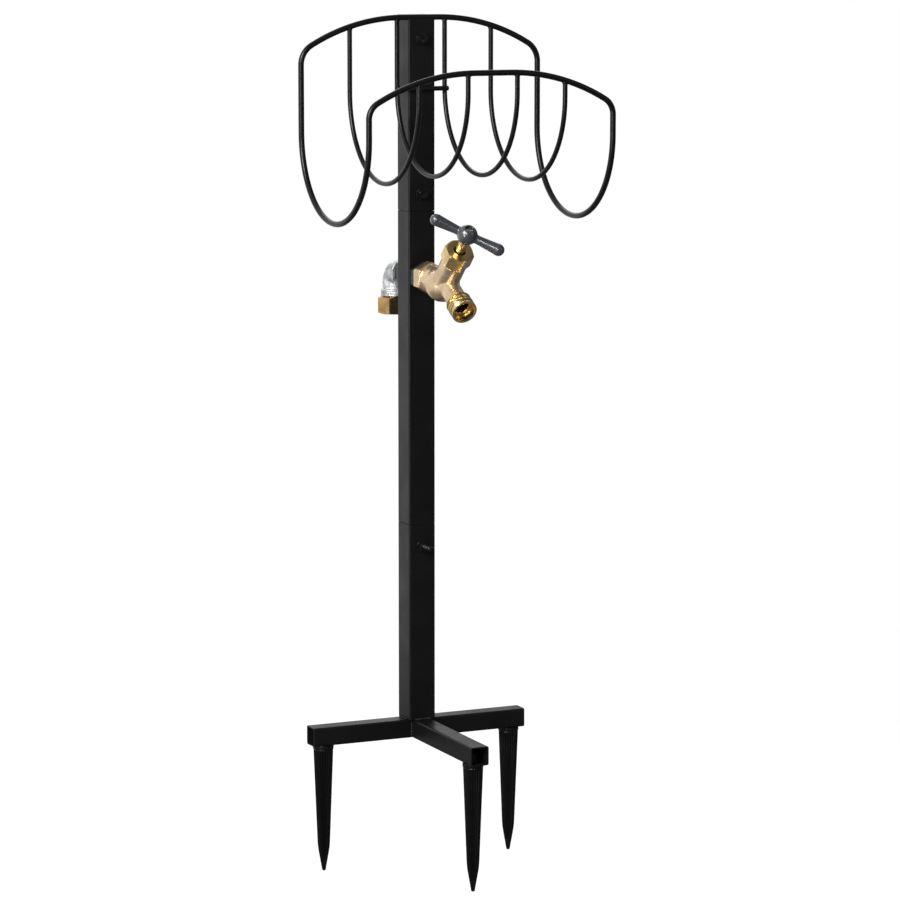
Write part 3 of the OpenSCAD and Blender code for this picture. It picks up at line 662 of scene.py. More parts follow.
def hexRows(s):  # outside of a hexagon from its lower face to its upper face
    face = s["flats"] / 2 * s["face"]  # the end face's radius; outside it the chamfer falls off by the slope
    low, high, soft = s["low"], s["height"], s["soft"]

    def row(inset, height, onFace=False, falling=0):
        def spot(angle):
            reach = hexReach(angle, s["flats"], s["corner"])
            fall = max(reach - face, 0) * s["slope"]
            return (min(face, reach) if onFace else reach) - inset, height + falling * fall

        return spot

    if s.get("lowChamfer"):
        rows = [row(soft, low, True), row(0, low + soft * 0.5, True)]
        rows += [row(soft * 0.3, low, False, 1), row(0, low + soft, False, 1)]
    else:
        rows = [row(soft, low), row(0, low + soft)]
    rows += [row(0, high - soft, False, -1), row(soft * 0.3, high, False, -1)]
    return rows + [row(0, high - soft * 0.5, True), row(soft, high, True)]


def hexPiece(name, s, inner, where, finish):  # inner: rows that close the profile from the upper face down
    return evened(smoothed(wrapped(name, hexRows(s) + inner, hexAngles, where, finish), 28))


# Geometry Nodes trees


def startTree(name, inputs):  # inputs: kind of socket and first value, by label
    tree = bpy.data.node_groups.new(name, "GeometryNodeTree")
    tree.interface.new_socket("Geometry", in_out="INPUT", socket_type="NodeSocketGeometry")
    for label, (kind, value) in inputs.items():
        socket = tree.interface.new_socket(label, in_out="INPUT", socket_type="NodeSocket" + kind)
        if value is not None:
            socket.default_value = value
    tree.interface.new_socket("Geometry", in_out="OUTPUT", socket_type="NodeSocketGeometry")
    g = Graph(tree)
    entry = tree.nodes.new("NodeGroupInput")
    return g, {socket.name: Link(g, socket) for socket in entry.outputs if socket.name}


def endTree(g, geometry, finish, smooth=True):  # one real mesh of one finish
    if smooth:
        geometry = g.node("GeometryNodeSetShadeSmooth", {}, {"Geometry": geometry})
    whole = g.node("GeometryNodeRealizeInstances", {}, {"Geometry": geometry})
    done = g.node("GeometryNodeSetMaterial", {}, {"Geometry": whole, "Material": finish})
    out = g.tree.nodes.new("NodeGroupOutput")
    g.tree.links.new(done.socket, out.inputs[0])
    return g.tree


def grow(name, tree, values, mesh=None):  # the mesh that a tree makes from its values
    obj = addObject(name, mesh or bpy.data.meshes.new(name))
    modifier = obj.modifiers.new("grow", "NODES")
    modifier.node_group = tree
    for item in tree.interface.items_tree:
        if item.in_out == "INPUT" and item.name in values:
            modifier[item.identifier] = values[item.name]
    return flatten(obj)


def makeWireTree():  # round wire along a line of points
    g, put = startTree("bentWire", {
        "Radius": ("Float", 0.003), "Sides": ("Int", 28), "Finish": ("Material", None),
    })
    line = g.node("GeometryNodeMeshToCurve", {}, {"Mesh": put["Geometry"]})
    circle = {"Resolution": put["Sides"], "Radius": put["Radius"]}
    ring = g.node("GeometryNodeCurvePrimitiveCircle", {}, circle)
    tube = g.node("GeometryNodeCurveToMesh", {}, {"Curve": line, "Profile Curve": ring, "Fill Caps": True})
    return endTree(g, tube, put["Finish"])


def makeBeadTree():  # weld bead: a rope whose thickness ripples along its line
    g, put = startTree("weldBead", {
        "Radius": ("Float", 0.0013), "Ripple": ("Float", 0.16), "Pitch": ("Float", 0.0016),
        "Seed": ("Int", 7), "Finish": ("Material", None),
    })
    line = g.node("GeometryNodeMeshToCurve", {}, {"Mesh": put["Geometry"]})
    spacing = {"Curve": line, "Length": put["Pitch"] / 8}
    line = g.node("GeometryNodeResampleCurve", {"mode": "LENGTH"}, spacing)
    far = g.node("GeometryNodeSplineParameter", {}, {}, "Length")
    wave = (far * (2 * math.pi) / put["Pitch"]).math("SINE")
    chance = g.node("FunctionNodeRandomValue", {}, {2: -0.04, 3: 0.04, "Seed": put["Seed"]}, 1)
    ring = g.node("GeometryNodeCurvePrimitiveCircle", {}, {"Resolution": 12, "Radius": put["Radius"]})
    tube = g.node("GeometryNodeCurveToMesh", {}, {
        "Curve": line, "Profile Curve": ring, "Scale": 1 + wave * put["Ripple"] + chance, "Fill Caps": True,
    })
    return endTree(g, tube, put["Finish"])


def makeSpikeTree():  # fluted taper with a point, hanging from z = 0
    g, put = startTree("flutedSpike", {
        "Top radius": ("Float", 0.00995), "Waist radius": ("Float", 0.00575), "Tip radius": ("Float", 0.0012),
        "Waist depth": ("Float", 0.110), "Length": ("Float", 0.137), "Start": ("Float", 0.004),
        "Flutes": ("Int", 20), "Flute depth": ("Float", 0.1), "Rows": ("Int", 150), "Columns": ("Int", 241),
        "Finish": ("Material", None),
    })
    topRadius, waistRadius, tipRadius = put["Top radius"], put["Waist radius"], put["Tip radius"]
    start, waistDepth, length = put["Start"], put["Waist depth"], put["Length"]
    sheet = g.node("GeometryNodeMeshGrid", {}, {
        "Size X": 1.0, "Size Y": 1.0, "Vertices X": put["Columns"], "Vertices Y": put["Rows"],
    })
    x, y = g.parts(g.node("GeometryNodeInputPosition"))[:2]
    turn = (x + 0.5) * (2 * math.pi)
    share = y + 0.5
    depth = start + share * (length - start)
    upper = topRadius + (waistRadius - topRadius) * (depth / waistDepth)
    pointed = (depth - waistDepth) / (length - waistDepth)
    lower = waistRadius + (tipRadius - waistRadius) * pointed
    radius = upper.math("SMOOTH_MIN", lower, 0.0012)
    groove = 0.5 - (turn * put["Flutes"]).math("COSINE") * 0.5
    fluted = g.between(depth, start + 0.001, start + 0.004) * (1 - g.between(pointed, 0.35, 0.8))
    radius = radius * (1 - put["Flute depth"] * fluted * groove ** 0.7)
    radius = radius * (1 - g.between(pointed, 0.95, 1.0) ** 4)  # shut at the tip
    radius = radius * (1 - share.math("LESS_THAN", 0.0001))  # shut inside the collar
    spot = g.joined(radius * turn.math("COSINE"), radius * turn.math("SINE"), -depth)
    shaped = g.node("GeometryNodeSetPosition", {}, {"Geometry": sheet, "Position": spot})
    shut = g.node("GeometryNodeMergeByDistance", {}, {"Geometry": shaped, "Distance": 0.000002})
    return endTree(g, shut, put["Finish"])


def makeSetTree():  # the same small part on each point, turned to the point's facing, with a seeded spin
    g, put = startTree("fastenerSet", {
        "Part": ("Object", None), "Seed": ("Int", 3), "Spin": ("Float", 0.5), "Finish": ("Material", None),
    })
    facing = g.node("GeometryNodeInputNamedAttribute", {"data_type": "FLOAT_VECTOR"}, {"Name": "facing"})
    spin = g.node("FunctionNodeRandomValue", {}, {2: 0.0, 3: put["Spin"], "Seed": put["Seed"]}, 1)
    side = g.joined(spin.math("COSINE"), 0.0, spin.math("SINE"))
    axes = {"primary_axis": "Z", "secondary_axis": "X"}
    turn = g.node("FunctionNodeAxesToRotation", axes, {0: facing, 1: side})
    part = g.node("GeometryNodeObjectInfo", {}, {"Object": put["Part"], "As Instance": True}, "Geometry")
    spots = {"Points": put["Geometry"], "Instance": part, "Rotation": turn}
    return endTree(g, g.node("GeometryNodeInstanceOnPoints", {}, spots), put["Finish"], False)


wireTree, beadTree, spikeTree, setTree = makeWireTree(), makeBeadTree(), makeSpikeTree(), makeSetTree()


def lineMesh(points, loop=False):  # points in mm
    mesh = bpy.data.meshes.new("line")
    last = len(points) - 1
    edges = [(i, i + 1) for i in range(last)] + ([(last, 0)] if loop else [])
    mesh.from_pydata([tuple(Vector(p) * mm) for p in points], edges, [])
    return mesh


def wire(name, points, radius, sides, loop=False):
    values = {"Radius": radius * mm, "Sides": sides, "Finish": wireCoat}
    return grow(name, wireTree, values, lineMesh(points, loop))


def bead(name, points, radius, loop=False, finish=postCoat, slot="powder_coat"):
    values = {"Radius": radius * mm, "Seed": len(name), "Finish": finish}
    return seat(grow(name, beadTree, values, lineMesh(points, loop)), "stand", slot)


print("trees made")


# Post and foot: the solids with their cut edges rounded off

post = {"edge": 0.35, "capEdge": 0.4, "seamGap": 0.5, "weld": 1.3}


def softened(node, finish, slot, width, gap=0.0):  # gap: how far both cut ends stand back, in mm
    mesh = bmesh.new()
    mesh.from_mesh(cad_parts[node].data)
    bmesh.ops.remove_doubles(mesh, verts=mesh.verts, dist=1e-6)
    heights = [vert.co.z for vert in mesh.verts]
    ends = ((min(heights), gap * mm), (max(heights), -gap * mm))
    for vert in mesh.verts:
        vert.co.z += sum(move for end, move in ends if abs(vert.co.z - end) < 1e-5)
    bmesh.ops.dissolve_limit(mesh, angle_limit=math.radians(1.5), verts=mesh.verts, edges=mesh.edges)
    obj = meshObject(node + ".soft", mesh, finish)
    evened(smoothed(bevelled(obj, width), 34))
    return seat(obj, "stand", slot, node)


for tube in ("base_cross_bar", "base_front_arm", "lower_post", "upper_post"):
    softened(tube, postCoat, "powder_coat", post["edge"])
softened("middle_post", postCoat, "powder_coat", post["edge"], post["seamGap"])
softened("post_cap", capPlastic, "cap_plastic", post["capEdge"])

footWelds = {  # ends of each bead, in mm
    "postLeft": [(-15.4, -9.5, 20.4), (-15.4, 9.5, 20.4)],
    "postRight": [(15.4, -9.5, 20.4), (15.4, 9.5, 20.4)],
    "postFront": [(-9.5, -15.4, 20.4), (9.5, -15.4, 20.4)],
    "armLeft": [(-10.2, -10.2, 1.2), (-10.2, -10.2, 18.8)],
    "armRight": [(10.2, -10.2, 1.2), (10.2, -10.2, 18.8)],
}
for weldName, weldLine in footWelds.items():
    bead("footWeld" + weldName[0].upper() + weldName[1:], weldLine, post["weld"])
print("post and foot done")


# Rack of bent wire

rack = {
    "halfWidth": 134.0, "backY": -12.5, "frontY": -188.5, "hoopRadius": 3.0, "ribRadius": 2.5,
    "flat": 20.0, "turn": 30.0,  # half the straight top of an arch, and the degrees of its wide bend
    "back": {"apex": 761.5, "drop": 47.5},  # drop: from the apex down to the top of the leg
    "front": {"apex": 710.5, "drop": 44.0},
    "bendRadius": 88.0, "hoopBend": 646.0,  # radius of the round bends, and the height of the hoop's centre
    "weldRing": 2.55, "weld": 0.55, "weldSink": 0.05,
    "ribs": {  # x, and the height of its round bend's centre
        "rib_outer_left": (-80, 685), "rib_inner_left": (-27, 691),
        "rib_inner_right": (27, 691), "rib_outer_right": (80, 685),
    },
}


def archRadii(s, arch):  # wide and tight bend of an arch, which meet tangent at its turn
    turn, span = math.radians(s["turn"]), s["halfWidth"] - s["flat"]
    sine, cosine = math.sin(turn), math.cos(turn)
    size = sine * cosine - (1 - sine) * (1 - cosine)
    wide = (span * cosine - arch["drop"] * (1 - sine)) / size
    return wide, (arch["drop"] * sine - span * (1 - cosine)) / size


def archPoints(s, arch, y, steps=18):  # right half of an arch, from its middle to the top of its leg
    wide, tight = archRadii(s, arch)
    points = [(0, y, arch["apex"])]
    for k in range(steps + 1):
        a = math.radians(90 - s["turn"] * k / steps)
        points.append((s["flat"] + wide * math.cos(a), y, arch["apex"] - wide + wide * math.sin(a)))
    legX, legZ = s["halfWidth"] - tight, arch["apex"] - arch["drop"]
    for k in range(1, steps + 1):
        a = math.radians((90 - s["turn"]) * (1 - k / steps))
        points.append((legX + tight * math.cos(a), y, legZ + tight * math.sin(a)))
    return points


def cradlePoints(s, x, bend, steps=64):  # round bend from the back leg to the front leg
    middle, radius = (s["backY"] + s["frontY"]) / 2, s["bendRadius"]
    angles = [math.pi * k / steps for k in range(steps + 1)]
    return [(x, middle + radius * math.cos(a), bend - radius * math.sin(a)) for a in angles]


def hoopPoints(s):
    back, front = archPoints(s, s["back"], s["backY"]), archPoints(s, s["front"], s["frontY"])
    right = back + cradlePoints(s, s["halfWidth"], s["hoopBend"]) + front[::-1]
    left = [(-x, y, z) for x, y, z in right[::-1]]
    return right + left[1:-1]


def archTop(s, arch, x):  # height of an arch's wire above x
    wide = archRadii(s, arch)[0]
    over = max(abs(x) - s["flat"], 0)
    return arch["apex"] - (wide - math.sqrt(wide ** 2 - over ** 2))


def ribWeld(s, x, y, top):  # ring of weld where a rib meets the hoop from below
    ring = []
    for a in around(24):
        px, py = s["weldRing"] * math.cos(a), s["weldRing"] * math.sin(a)
        under = math.sqrt(max(s["hoopRadius"] ** 2 - py ** 2, 0)) + s["weldSink"]
        ring.append((x + px, y + py, top - under))
    return ring


def buildRack(s):
    hoop = wire("hoopWire", hoopPoints(s), s["hoopRadius"], 32, True)
    seat(hoop, "stand", "wire_coat", "rack_hoop")
    for node, (x, bend) in s["ribs"].items():
        backTop, frontTop = archTop(s, s["back"], x), archTop(s, s["front"], x)
        points = [(x, s["backY"], backTop)] + cradlePoints(s, x, bend) + [(x, s["frontY"], frontTop)]
        name = "wire" + "".join(word.capitalize() for word in node.split("_"))
        seat(wire(name, points, s["ribRadius"], 28), "stand", "wire_coat", node)
        for side, y, top in (("Back", s["backY"], backTop), ("Front", s["frontY"], frontTop)):
            bead(name + "Weld" + side, ribWeld(s, x, y, top), s["weld"], True, wireCoat, "wire_coat")


buildRack(rack)

crossWire = {
    "radius": 2.5, "half": 29.0, "y": -17.5, "z": 688.0, "edge": 0.7,
    "ribX": 27, "weldX": 2.3, "weldRadius": 2.4, "weld": 0.7,
}


def buildCrossWire(s):
    r, h = s["radius"], s["half"]
    where = Matrix.Translation(Vector((0, s["y"], s["z"])) * mm) @ Matrix.Rotation(math.pi / 2, 4, "Y")
    profile = rounded([(0, -h, 0), (r, -h), (r, h), (0, h, 0)], s["edge"], 5)
    bar = turned("wireRackCrossBar", profile, where, wireCoat, 32)
    seat(bar, "stand", "wire_coat", "rack_cross_bar")
    angles = [math.radians(degrees) for degrees in (-60, -30, 0, 30, 60)]
    for side in (-1, 1):
        for face in (-1, 1):  # a bead on each side of each inner rib
            x, reach = side * s["ribX"] + face * s["weldX"], s["weldRadius"]
            line = [(x, rack["backY"] - reach * math.cos(a), s["z"] + reach * math.sin(a)) for a in angles]
            bead(f"crossWeld{side + 1}{face + 1}", line, s["weld"], False, wireCoat, "wire_coat")


buildCrossWire(crossWire)
print("rack done")


# Ground spikes

spike = {
    "length": 137.0, "topRadius": 10.7, "collarRadius": 11.0, "collar": 4.0, "waist": 6.5,
    "waistDepth": 110.0, "tip": 1.7, "flutes": 24, "fluteDepth": 0.13,
    "spigotRadius": 5.0, "spigotHeight": 10.5, "edge": 0.5,
    "places": {"spike_left": (-108, 0), "spike_right": (108, 0), "spike_front": (0, -143)},
}


def buildSpikes(s):
    low, wide, thin, high = -s["collar"], s["collarRadius"], s["spigotRadius"], s["spigotHeight"]
    collar = rounded([(0, low, 0), (wide, low), (wide, 0), (thin, 0), (thin, high), (0, high, 0)], s["edge"])
    for node, (x, y) in s["places"].items():
        body = grow("taper", spikeTree, {
            "Top radius": s["topRadius"] * mm, "Waist radius": s["waist"] * mm, "Tip radius": s["tip"] * mm,
            "Waist depth": s["waistDepth"] * mm, "Length": s["length"] * mm,
            "Start": (s["collar"] - 0.5) * mm, "Flutes": s["flutes"], "Flute depth": s["fluteDepth"],
            "Finish": spikePlastic,
        })
        body.data.transform(place((x, y, 0)))
        top = turned("collar", collar, place((x, y, 0)), spikePlastic)
        whole = join("spike" + node.split("_")[1].capitalize(), [body, top], spikePlastic)
        seat(whole, "stand", "spike_plastic", node)


buildSpikes(spike)
print("spikes done")


# Bolts, washers and nuts

fastener = {
    "bolt": {"flats": 10.0, "corner": 0.35, "height": 4.5, "face": 0.96, "slope": 0.5, "soft": 0.12},
    "nut": {"flats": 10.0, "corner": 0.35, "height": 5.0, "face": 0.96, "slope": 0.5, "soft": 0.12},
    "shank": 3.0, "pitch": 1.0, "threadDepth": 0.34, "dish": (3.0, 2.4), "dishDepth": 0.25,
    "wall": 15.0,  # from the bolt's middle to the post's face
    "washerRadius": 6.5, "washerBore": 3.25, "washer": 1.4, "washerEdge": 0.3,
    "nutBore": 3.02, "nutMouth": 3.4, "nutLead": 0.4,
    "shortBolts": {"cap_bolt": 739.0, "upper_joint_bolt": 579.0}, "shortTail": 7.5, "shortThread": 8.0,
    "longBolt": 207.0, "longLength": 56.4, "longThread": 26.0,
}
atOrigin = Matrix.Identity(4)


def boltPart(s, length, threadLength):
    r = s["shank"]
    under = s["wall"] + s["washer"]
    head = dict(s["bolt"], low=under, height=under + s["bolt"]["height"])
    tip, top = under - length, head["height"]
    (rim, floor), depth = s["dish"], s["dishDepth"]
    inner = [(rim, top), (floor, top - depth), (0.0, top - depth), (0.0, under)]
    cap = hexPiece("head", head, inner, atOrigin, blackBolt)
    rows = [(0.0, under + 0.5), (r, under + 0.5), (r, tip + threadLength)]
    rows += threadedRows(r, s["threadDepth"], s["pitch"], tip + threadLength - 0.2, tip + 0.6)
    rows += [(r - 0.6, tip), (0.0, tip)]
    shank = smoothed(wrapped("shank", rows, around(32), atOrigin, blackBolt), 45)
    return join("boltPart", [cap, shank], blackBolt)


def pointsMesh(spots):  # (place in mm, facing)
    mesh = bpy.data.meshes.new("spots")
    mesh.from_pydata([tuple(Vector(p) * mm) for p, _ in spots], [], [])
    facing = mesh.attributes.new("facing", "FLOAT_VECTOR", "POINT")
    for k, (_, way) in enumerate(spots):
        facing.data[k].vector = way
    return mesh


def setOut(name, part, spots, values, *nodes):  # copies of a part at the spots, which replace the nodes
    made = grow(name, setTree, {"Part": part, "Finish": blackBolt, **values}, pointsMesh(spots))
    bpy.data.objects.remove(part)
    seat(smoothed(made, 30), "stand", "black_bolt", *nodes)


def buildFasteners(s):
    front, back = (0, -1, 0), (0, 1, 0)
    w, b, t, wall = s["washerRadius"], s["washerBore"], s["washer"], s["wall"]
    high, middle, low = [(0, 0, z) for z in (*s["shortBolts"].values(), s["longBolt"])]
    short = boltPart(s, 2 * (wall + t) + s["shortTail"], s["shortThread"])
    setOut("shortBolts", short, [(high, front), (middle, front)], {"Seed": 5, "Spin": 0.7}, *s["shortBolts"])
    long = boltPart(s, s["longLength"], s["longThread"])
    setOut("longBolt", long, [(low, back)], {"Seed": 2, "Spin": 0.4}, "lower_joint_bolt")
    profile = rounded([(b, wall), (w, wall), (w, wall + t), (b, wall + t)], s["washerEdge"], 3)
    ring = turned("washerPart", profile, atOrigin, blackBolt, 48)
    spots = [(spot, way) for spot in (high, middle, low) for way in (front, back)]
    setOut("washers", ring, spots, {"Seed": 9}, "bolt_washers")
    nut = dict(s["nut"], low=wall + t, height=wall + t + s["nut"]["height"])
    top, base, mouth, bore, lead = nut["height"], nut["low"], s["nutMouth"], s["nutBore"], s["nutLead"]
    inner = [(mouth, top), (bore, top - lead), (bore, base + lead), (mouth, base)]
    part = hexPiece("nutPart", nut, inner, atOrigin, blackBolt)
    spots = [(high, back), (middle, back), (low, front)]
    setOut("nuts", part, spots, {"Seed": 4, "Spin": 0.8}, "bolt_nuts")


buildFasteners(fastener)
print("fasteners done")


# Pipe, locknuts and elbow

pipe = {
    "z": 492.5, "radius": 10.65, "bore": 7.9, "front": -39.0, "back": 44.0, "pitch": 1.81, "depth": 0.75,
    "frontThread": -15.0, "backThread": 14.6, "chamfer": 0.9, "nutClearance": 0.1, "nutMouth": 0.75,
    "locknut": {
        "flats": 27.0, "corner": 0.7, "height": 22.0, "low": 15.0, "face": 0.97, "slope": 0.5, "soft": 0.25,
    },
}


def buildPipe(s):
    r, b = s["radius"], s["bore"]
    rows = [(b, s["front"]), (r - s["chamfer"], s["front"])]
    rows += threadedRows(r, s["depth"], s["pitch"], s["front"] + 0.6, s["frontThread"])
    rows += [(r, s["frontThread"] + 1.0), (r, s["backThread"] - 0.6)]
    rows += threadedRows(r, s["depth"], s["pitch"], s["backThread"], s["back"] - 0.6)
    rows += [(r - s["chamfer"], s["back"]), (b, s["back"])]
    nipple = wrapped("pipeThread", rows, around(72), place((0, 0, s["z"]), -90), blackPipe)
    seat(smoothed(nipple, 40), "stand", "black_pipe", "pipe_nipple")
    nut = s["locknut"]
    high, low, mouth, bore = nut["height"], nut["low"], r + s["nutMouth"], r + s["nutClearance"]
    inner = [(mouth, high), (bore, high - 0.8), (bore, low + 0.8), (mouth, low)]
    for name, node, turn in (("locknutFront", "front_locknut", 90), ("locknutBack", "pipe_locknut", -90)):
        lock = hexPiece(name, nut, inner, place((0, 0, s["z"]), turn, 30), blackPipe)
        seat(lock, "stand", "black_pipe", node)


buildPipe(pipe)

elbow = {
    "mouthY": 31.0, "axisY": 57.5, "z": 492.5, "reach": 26.5, "bend": 13.0, "radius": 12.5, "bore": 8.5,
    "band": 14.5, "bandLength": 7.0, "bandEdge": 0.9, "bandRipple": 0.16, "bandFall": 2.2,
    "socket": 10.65, "socketDepth": 13.0, "socketLead": 0.6, "columns": 72,
}


def elbowMiddle(s, length):  # point and outward direction of the middle line, from the pipe's mouth down
    straight, arc = s["reach"] - s["bend"], s["bend"] * math.pi / 2
    if length < straight:
        return Vector((0, s["mouthY"] + length, s["z"])), Vector((0, 0, 1))
    if length > straight + arc:
        fall = s["bend"] + length - straight - arc
        return Vector((0, s["axisY"], s["z"] - fall)), Vector((0, 1, 0))
    a = (length - straight) / s["bend"]
    out = Vector((0, math.sin(a), math.cos(a)))
    return Vector((0, s["axisY"] - s["bend"], s["z"] - s["bend"])) + out * s["bend"], out


def elbowOutside(s, near):  # outer radius at a distance from the nearer mouth: rounded band, then the body
    band, body, edge = s["band"], s["radius"], s["bandEdge"]
    if near < edge:
        return band - edge + math.sqrt(edge ** 2 - (edge - near) ** 2)
    if near < s["bandLength"] - edge:
        wave = math.cos((near - edge) / (s["bandLength"] - 2 * edge) * 4 * math.pi)
        return band - s["bandRipple"] + s["bandRipple"] * wave
    t = min(max((near - s["bandLength"] + edge) / s["bandFall"], 0.0), 1.0)
    return band + (body - band) * (3 * t * t - 2 * t ** 3)


def buildElbow(s):
    total = 2 * (s["reach"] - s["bend"]) + s["bend"] * math.pi / 2
    stops = [0.0, 0.15, 0.35, 0.6, 0.9, 1.4, 1.9, 2.5, 3.1, 3.7, 4.3, 4.9, 5.5, 6.1, 6.4, 6.7]
    stops += [7.0, 7.4, 7.8, 8.3, 9.5, 11.5]  # close together where the band rounds and falls
    far = stops[-1]
    lengths = stops + [far + (total - 2 * far) * k / 26 for k in range(1, 26)]
    lengths += [total - length for length in stops[::-1]]
    rings = [(length, elbowOutside(s, min(length, total - length))) for length in lengths]
    socket, bore, depth, lead = s["socket"], s["bore"], s["socketDepth"], s["socketLead"]
    rings += [(total, socket + 0.5), (total - lead, socket), (total - depth, socket), (total - depth, bore)]
    rings += [(total - depth - (total - 2 * depth) * k / 16, bore) for k in range(1, 16)]
    rings += [(depth, bore), (depth, socket), (lead, socket), (0.0, socket + 0.5)]
    grid = []
    for length, radius in rings:
        point, up = elbowMiddle(s, length)
        side = Vector((1, 0, 0))
        circle = [(radius * math.cos(a), radius * math.sin(a)) for a in around(s["columns"])]
        grid.append([(point + up * high + side * wide) * mm for high, wide in circle])
    casting = smoothed(skinned("elbowCasting", grid, atOrigin, galvanised), 40)
    seat(casting, "stand", "galvanised", "elbow")


buildElbow(elbow)
print("pipe and elbow done")


# Hose inlet under the elbow

inlet = {
    "axisY": 57.5, "low": 447.0, "height": 18.0, "turn": 48.0, "thread": 13.6, "pitch": 2.21,
    "threadDepth": 0.9, "threadTop": 455.6, "lip": 11.0, "lipLow": 462.0,
    "nut": {"flats": 31.0, "corner": 0.7, "face": 1.0, "slope": 0.45, "soft": 0.25, "lowChamfer": True},
}


def buildInlet(s):
    low, top, r, lip = s["low"], s["low"] + s["height"], s["thread"], s["lip"]
    inner = [(lip + 0.4, top), (lip, top - 0.4), (lip, s["lipLow"]), (r + 0.1, s["lipLow"])]
    inner += [(r + 0.1, s["threadTop"] + 0.6), (r - 0.1, s["threadTop"] + 0.4)]
    inner += threadedRows(r, s["threadDepth"], s["pitch"], s["threadTop"], low + 1.4)
    inner += [(r, low + 1.0), (r + 0.9, low)]
    where = place((0, s["axisY"], 0), 0, s["turn"])
    swivel = hexPiece("swivelHex", dict(s["nut"], low=low, height=top), inner, where, inletBrass)
    seat(swivel, "inlet_nut", "turned_brass", "swivel_nut")


buildInlet(inlet)
print("inlet done")


# Faucet casting: rounded solids melted into each other, then hollowed


def spotInMm(g):  # x, y and z of the point that is worked out
    return [part * 1000.0 for part in g.parts(g.node("GeometryNodeInputPosition"))]


def coords(g, origin, axis):  # mm along an axis in the plane x = 0, away from it, to its side, and x
    x, y, z = spotInMm(g)
    dy, dz = y - origin[1], z - origin[2]
    along = dy * axis[1] + dz * axis[2]
    side = dy * axis[2] - dz * axis[1]
    return along, (x ** 2.0 + side ** 2.0).math("SQRT"), side, x


def rod(where, radius, start, end, soft=0.8):  # distance to a round bar
    along, away = where[0], where[1]
    middle, half = (start + end) / 2, (end - start) / 2
    return (away - radius).math("SMOOTH_MAX", (along - middle).math("ABSOLUTE") - half, soft)


def volumeMesh(g, distance, low, high, voxel, finish):  # skin where the distance is nought
    counts = [int((b - a) / voxel) + 1 for a, b in zip(low, high)]
    density = (0.5 - distance / (6.0 * voxel)).math("MINIMUM", 1.0).math("MAXIMUM", 0.0)
    cube = g.node("GeometryNodeVolumeCube", {}, {
        "Density": density, "Min": tuple(Vector(low) * mm), "Max": tuple(Vector(high) * mm),
        "Resolution X": counts[0], "Resolution Y": counts[1], "Resolution Z": counts[2],
    })
    skin = g.node("GeometryNodeVolumeToMesh", {}, {"Volume": cube, "Threshold": 0.5})
    spot = g.node("GeometryNodeInputPosition")
    blur = {"Value": spot, "Iterations": 3}
    eased = g.node("GeometryNodeBlurAttribute", {"data_type": "FLOAT_VECTOR"}, blur)
    even = g.node("GeometryNodeSetPosition", {}, {"Geometry": skin, "Position": eased})
    return endTree(g, even, finish)


faucet = {
    "pipe": (0, faucetPlace["collarY"], faucetPlace["pipeZ"]), "collar": 30.0, "collarLength": 15.0,
    "collarFall": (0.9, 0.45, 21.6), "neck": (13.5, 0.3, 44.0),  # rods: radius, start, end
    "ball": 18.0, "ballShift": (7.0, 4.0),  # back and down from where the axes meet
    "barrel": (13.5, -6.0, 32.0), "outlet": (10.75, -4.0, 38.5),
    "bonnetSeat": (12.0, 10.0, 42.8), "pipeBore": (10.65, -3.0, 13.0), "waterway": (7.5, 0.0, 30.5),
    "stemBore": (10.0, -6.0, 47.0), "outletBore": (7.5, 6.0, 43.5),
    "melt": 2.0, "voxel": 0.42,  # how far the solids melt together, and the grid they are worked out on
    "room": [(-19, -118, 452), (19, -23.5, 536)],
}


def hexCollar(s, pipeLine):  # distance to the collar, which falls off towards the neck
    along, away, side, x = pipeLine
    flats = x.math("ABSOLUTE")
    for degrees in (60, 120):
        turn = math.radians(degrees)
        face = (x * math.cos(turn) + side * math.sin(turn)).math("ABSOLUTE")
        flats = flats.math("SMOOTH_MAX", face, 1.2)
    half = s["collarLength"] / 2
    collar = (flats - s["collar"] / 2).math("SMOOTH_MAX", (along - half).math("ABSOLUTE") - half, 0.8)
    outward, forward, limit = s["collarFall"]
    return collar.math("SMOOTH_MAX", away * outward + along * forward - limit, 0.6)


def buildCasting(s):
    g, put = startTree("faucetCasting", {
        "Melt": ("Float", s["melt"]), "Ball radius": ("Float", s["ball"]), "Finish": ("Material", None),
    })
    melt = put["Melt"]
    pipeLine = coords(g, s["pipe"], (0, -1, 0))
    stemLine, outletLine = coords(g, meetPoint, stemAxis), coords(g, meetPoint, outletAxis)
    x, y, z = spotInMm(g)
    by, bz = meetPoint[1] + s["ballShift"][0], meetPoint[2] - s["ballShift"][1]
    ball = (x ** 2.0 + (y - by) ** 2.0 + (z - bz) ** 2.0).math("SQRT") - put["Ball radius"]
    body = rod(pipeLine, *s["neck"]).math("SMOOTH_MIN", ball, melt)
    body = body.math("SMOOTH_MIN", hexCollar(s, pipeLine), 1.0)
    body = body.math("SMOOTH_MIN", rod(stemLine, *s["barrel"], 0.9), melt)
    body = body.math("SMOOTH_MIN", rod(outletLine, *s["outlet"], 0.5), melt * 0.4)
    body = body.math("MINIMUM", rod(stemLine, *s["bonnetSeat"], 0.4))
    bores = rod(pipeLine, *s["pipeBore"], 0.3)
    for line, name in ((pipeLine, "waterway"), (stemLine, "stemBore"), (outletLine, "outletBore")):
        bores = bores.math("MINIMUM", rod(line, *s[name], 0.3))
    body = body.math("SMOOTH_MAX", -bores, 0.3)
    tree = volumeMesh(g, body, *s["room"], s["voxel"], put["Finish"])
    casting = grow("faucetCasting", tree, {"Finish": castBronze})
    seat(casting, "stand", "cast_bronze", "faucet_body")
    print("casting faces", len(casting.data.polygons))


buildCasting(faucet)

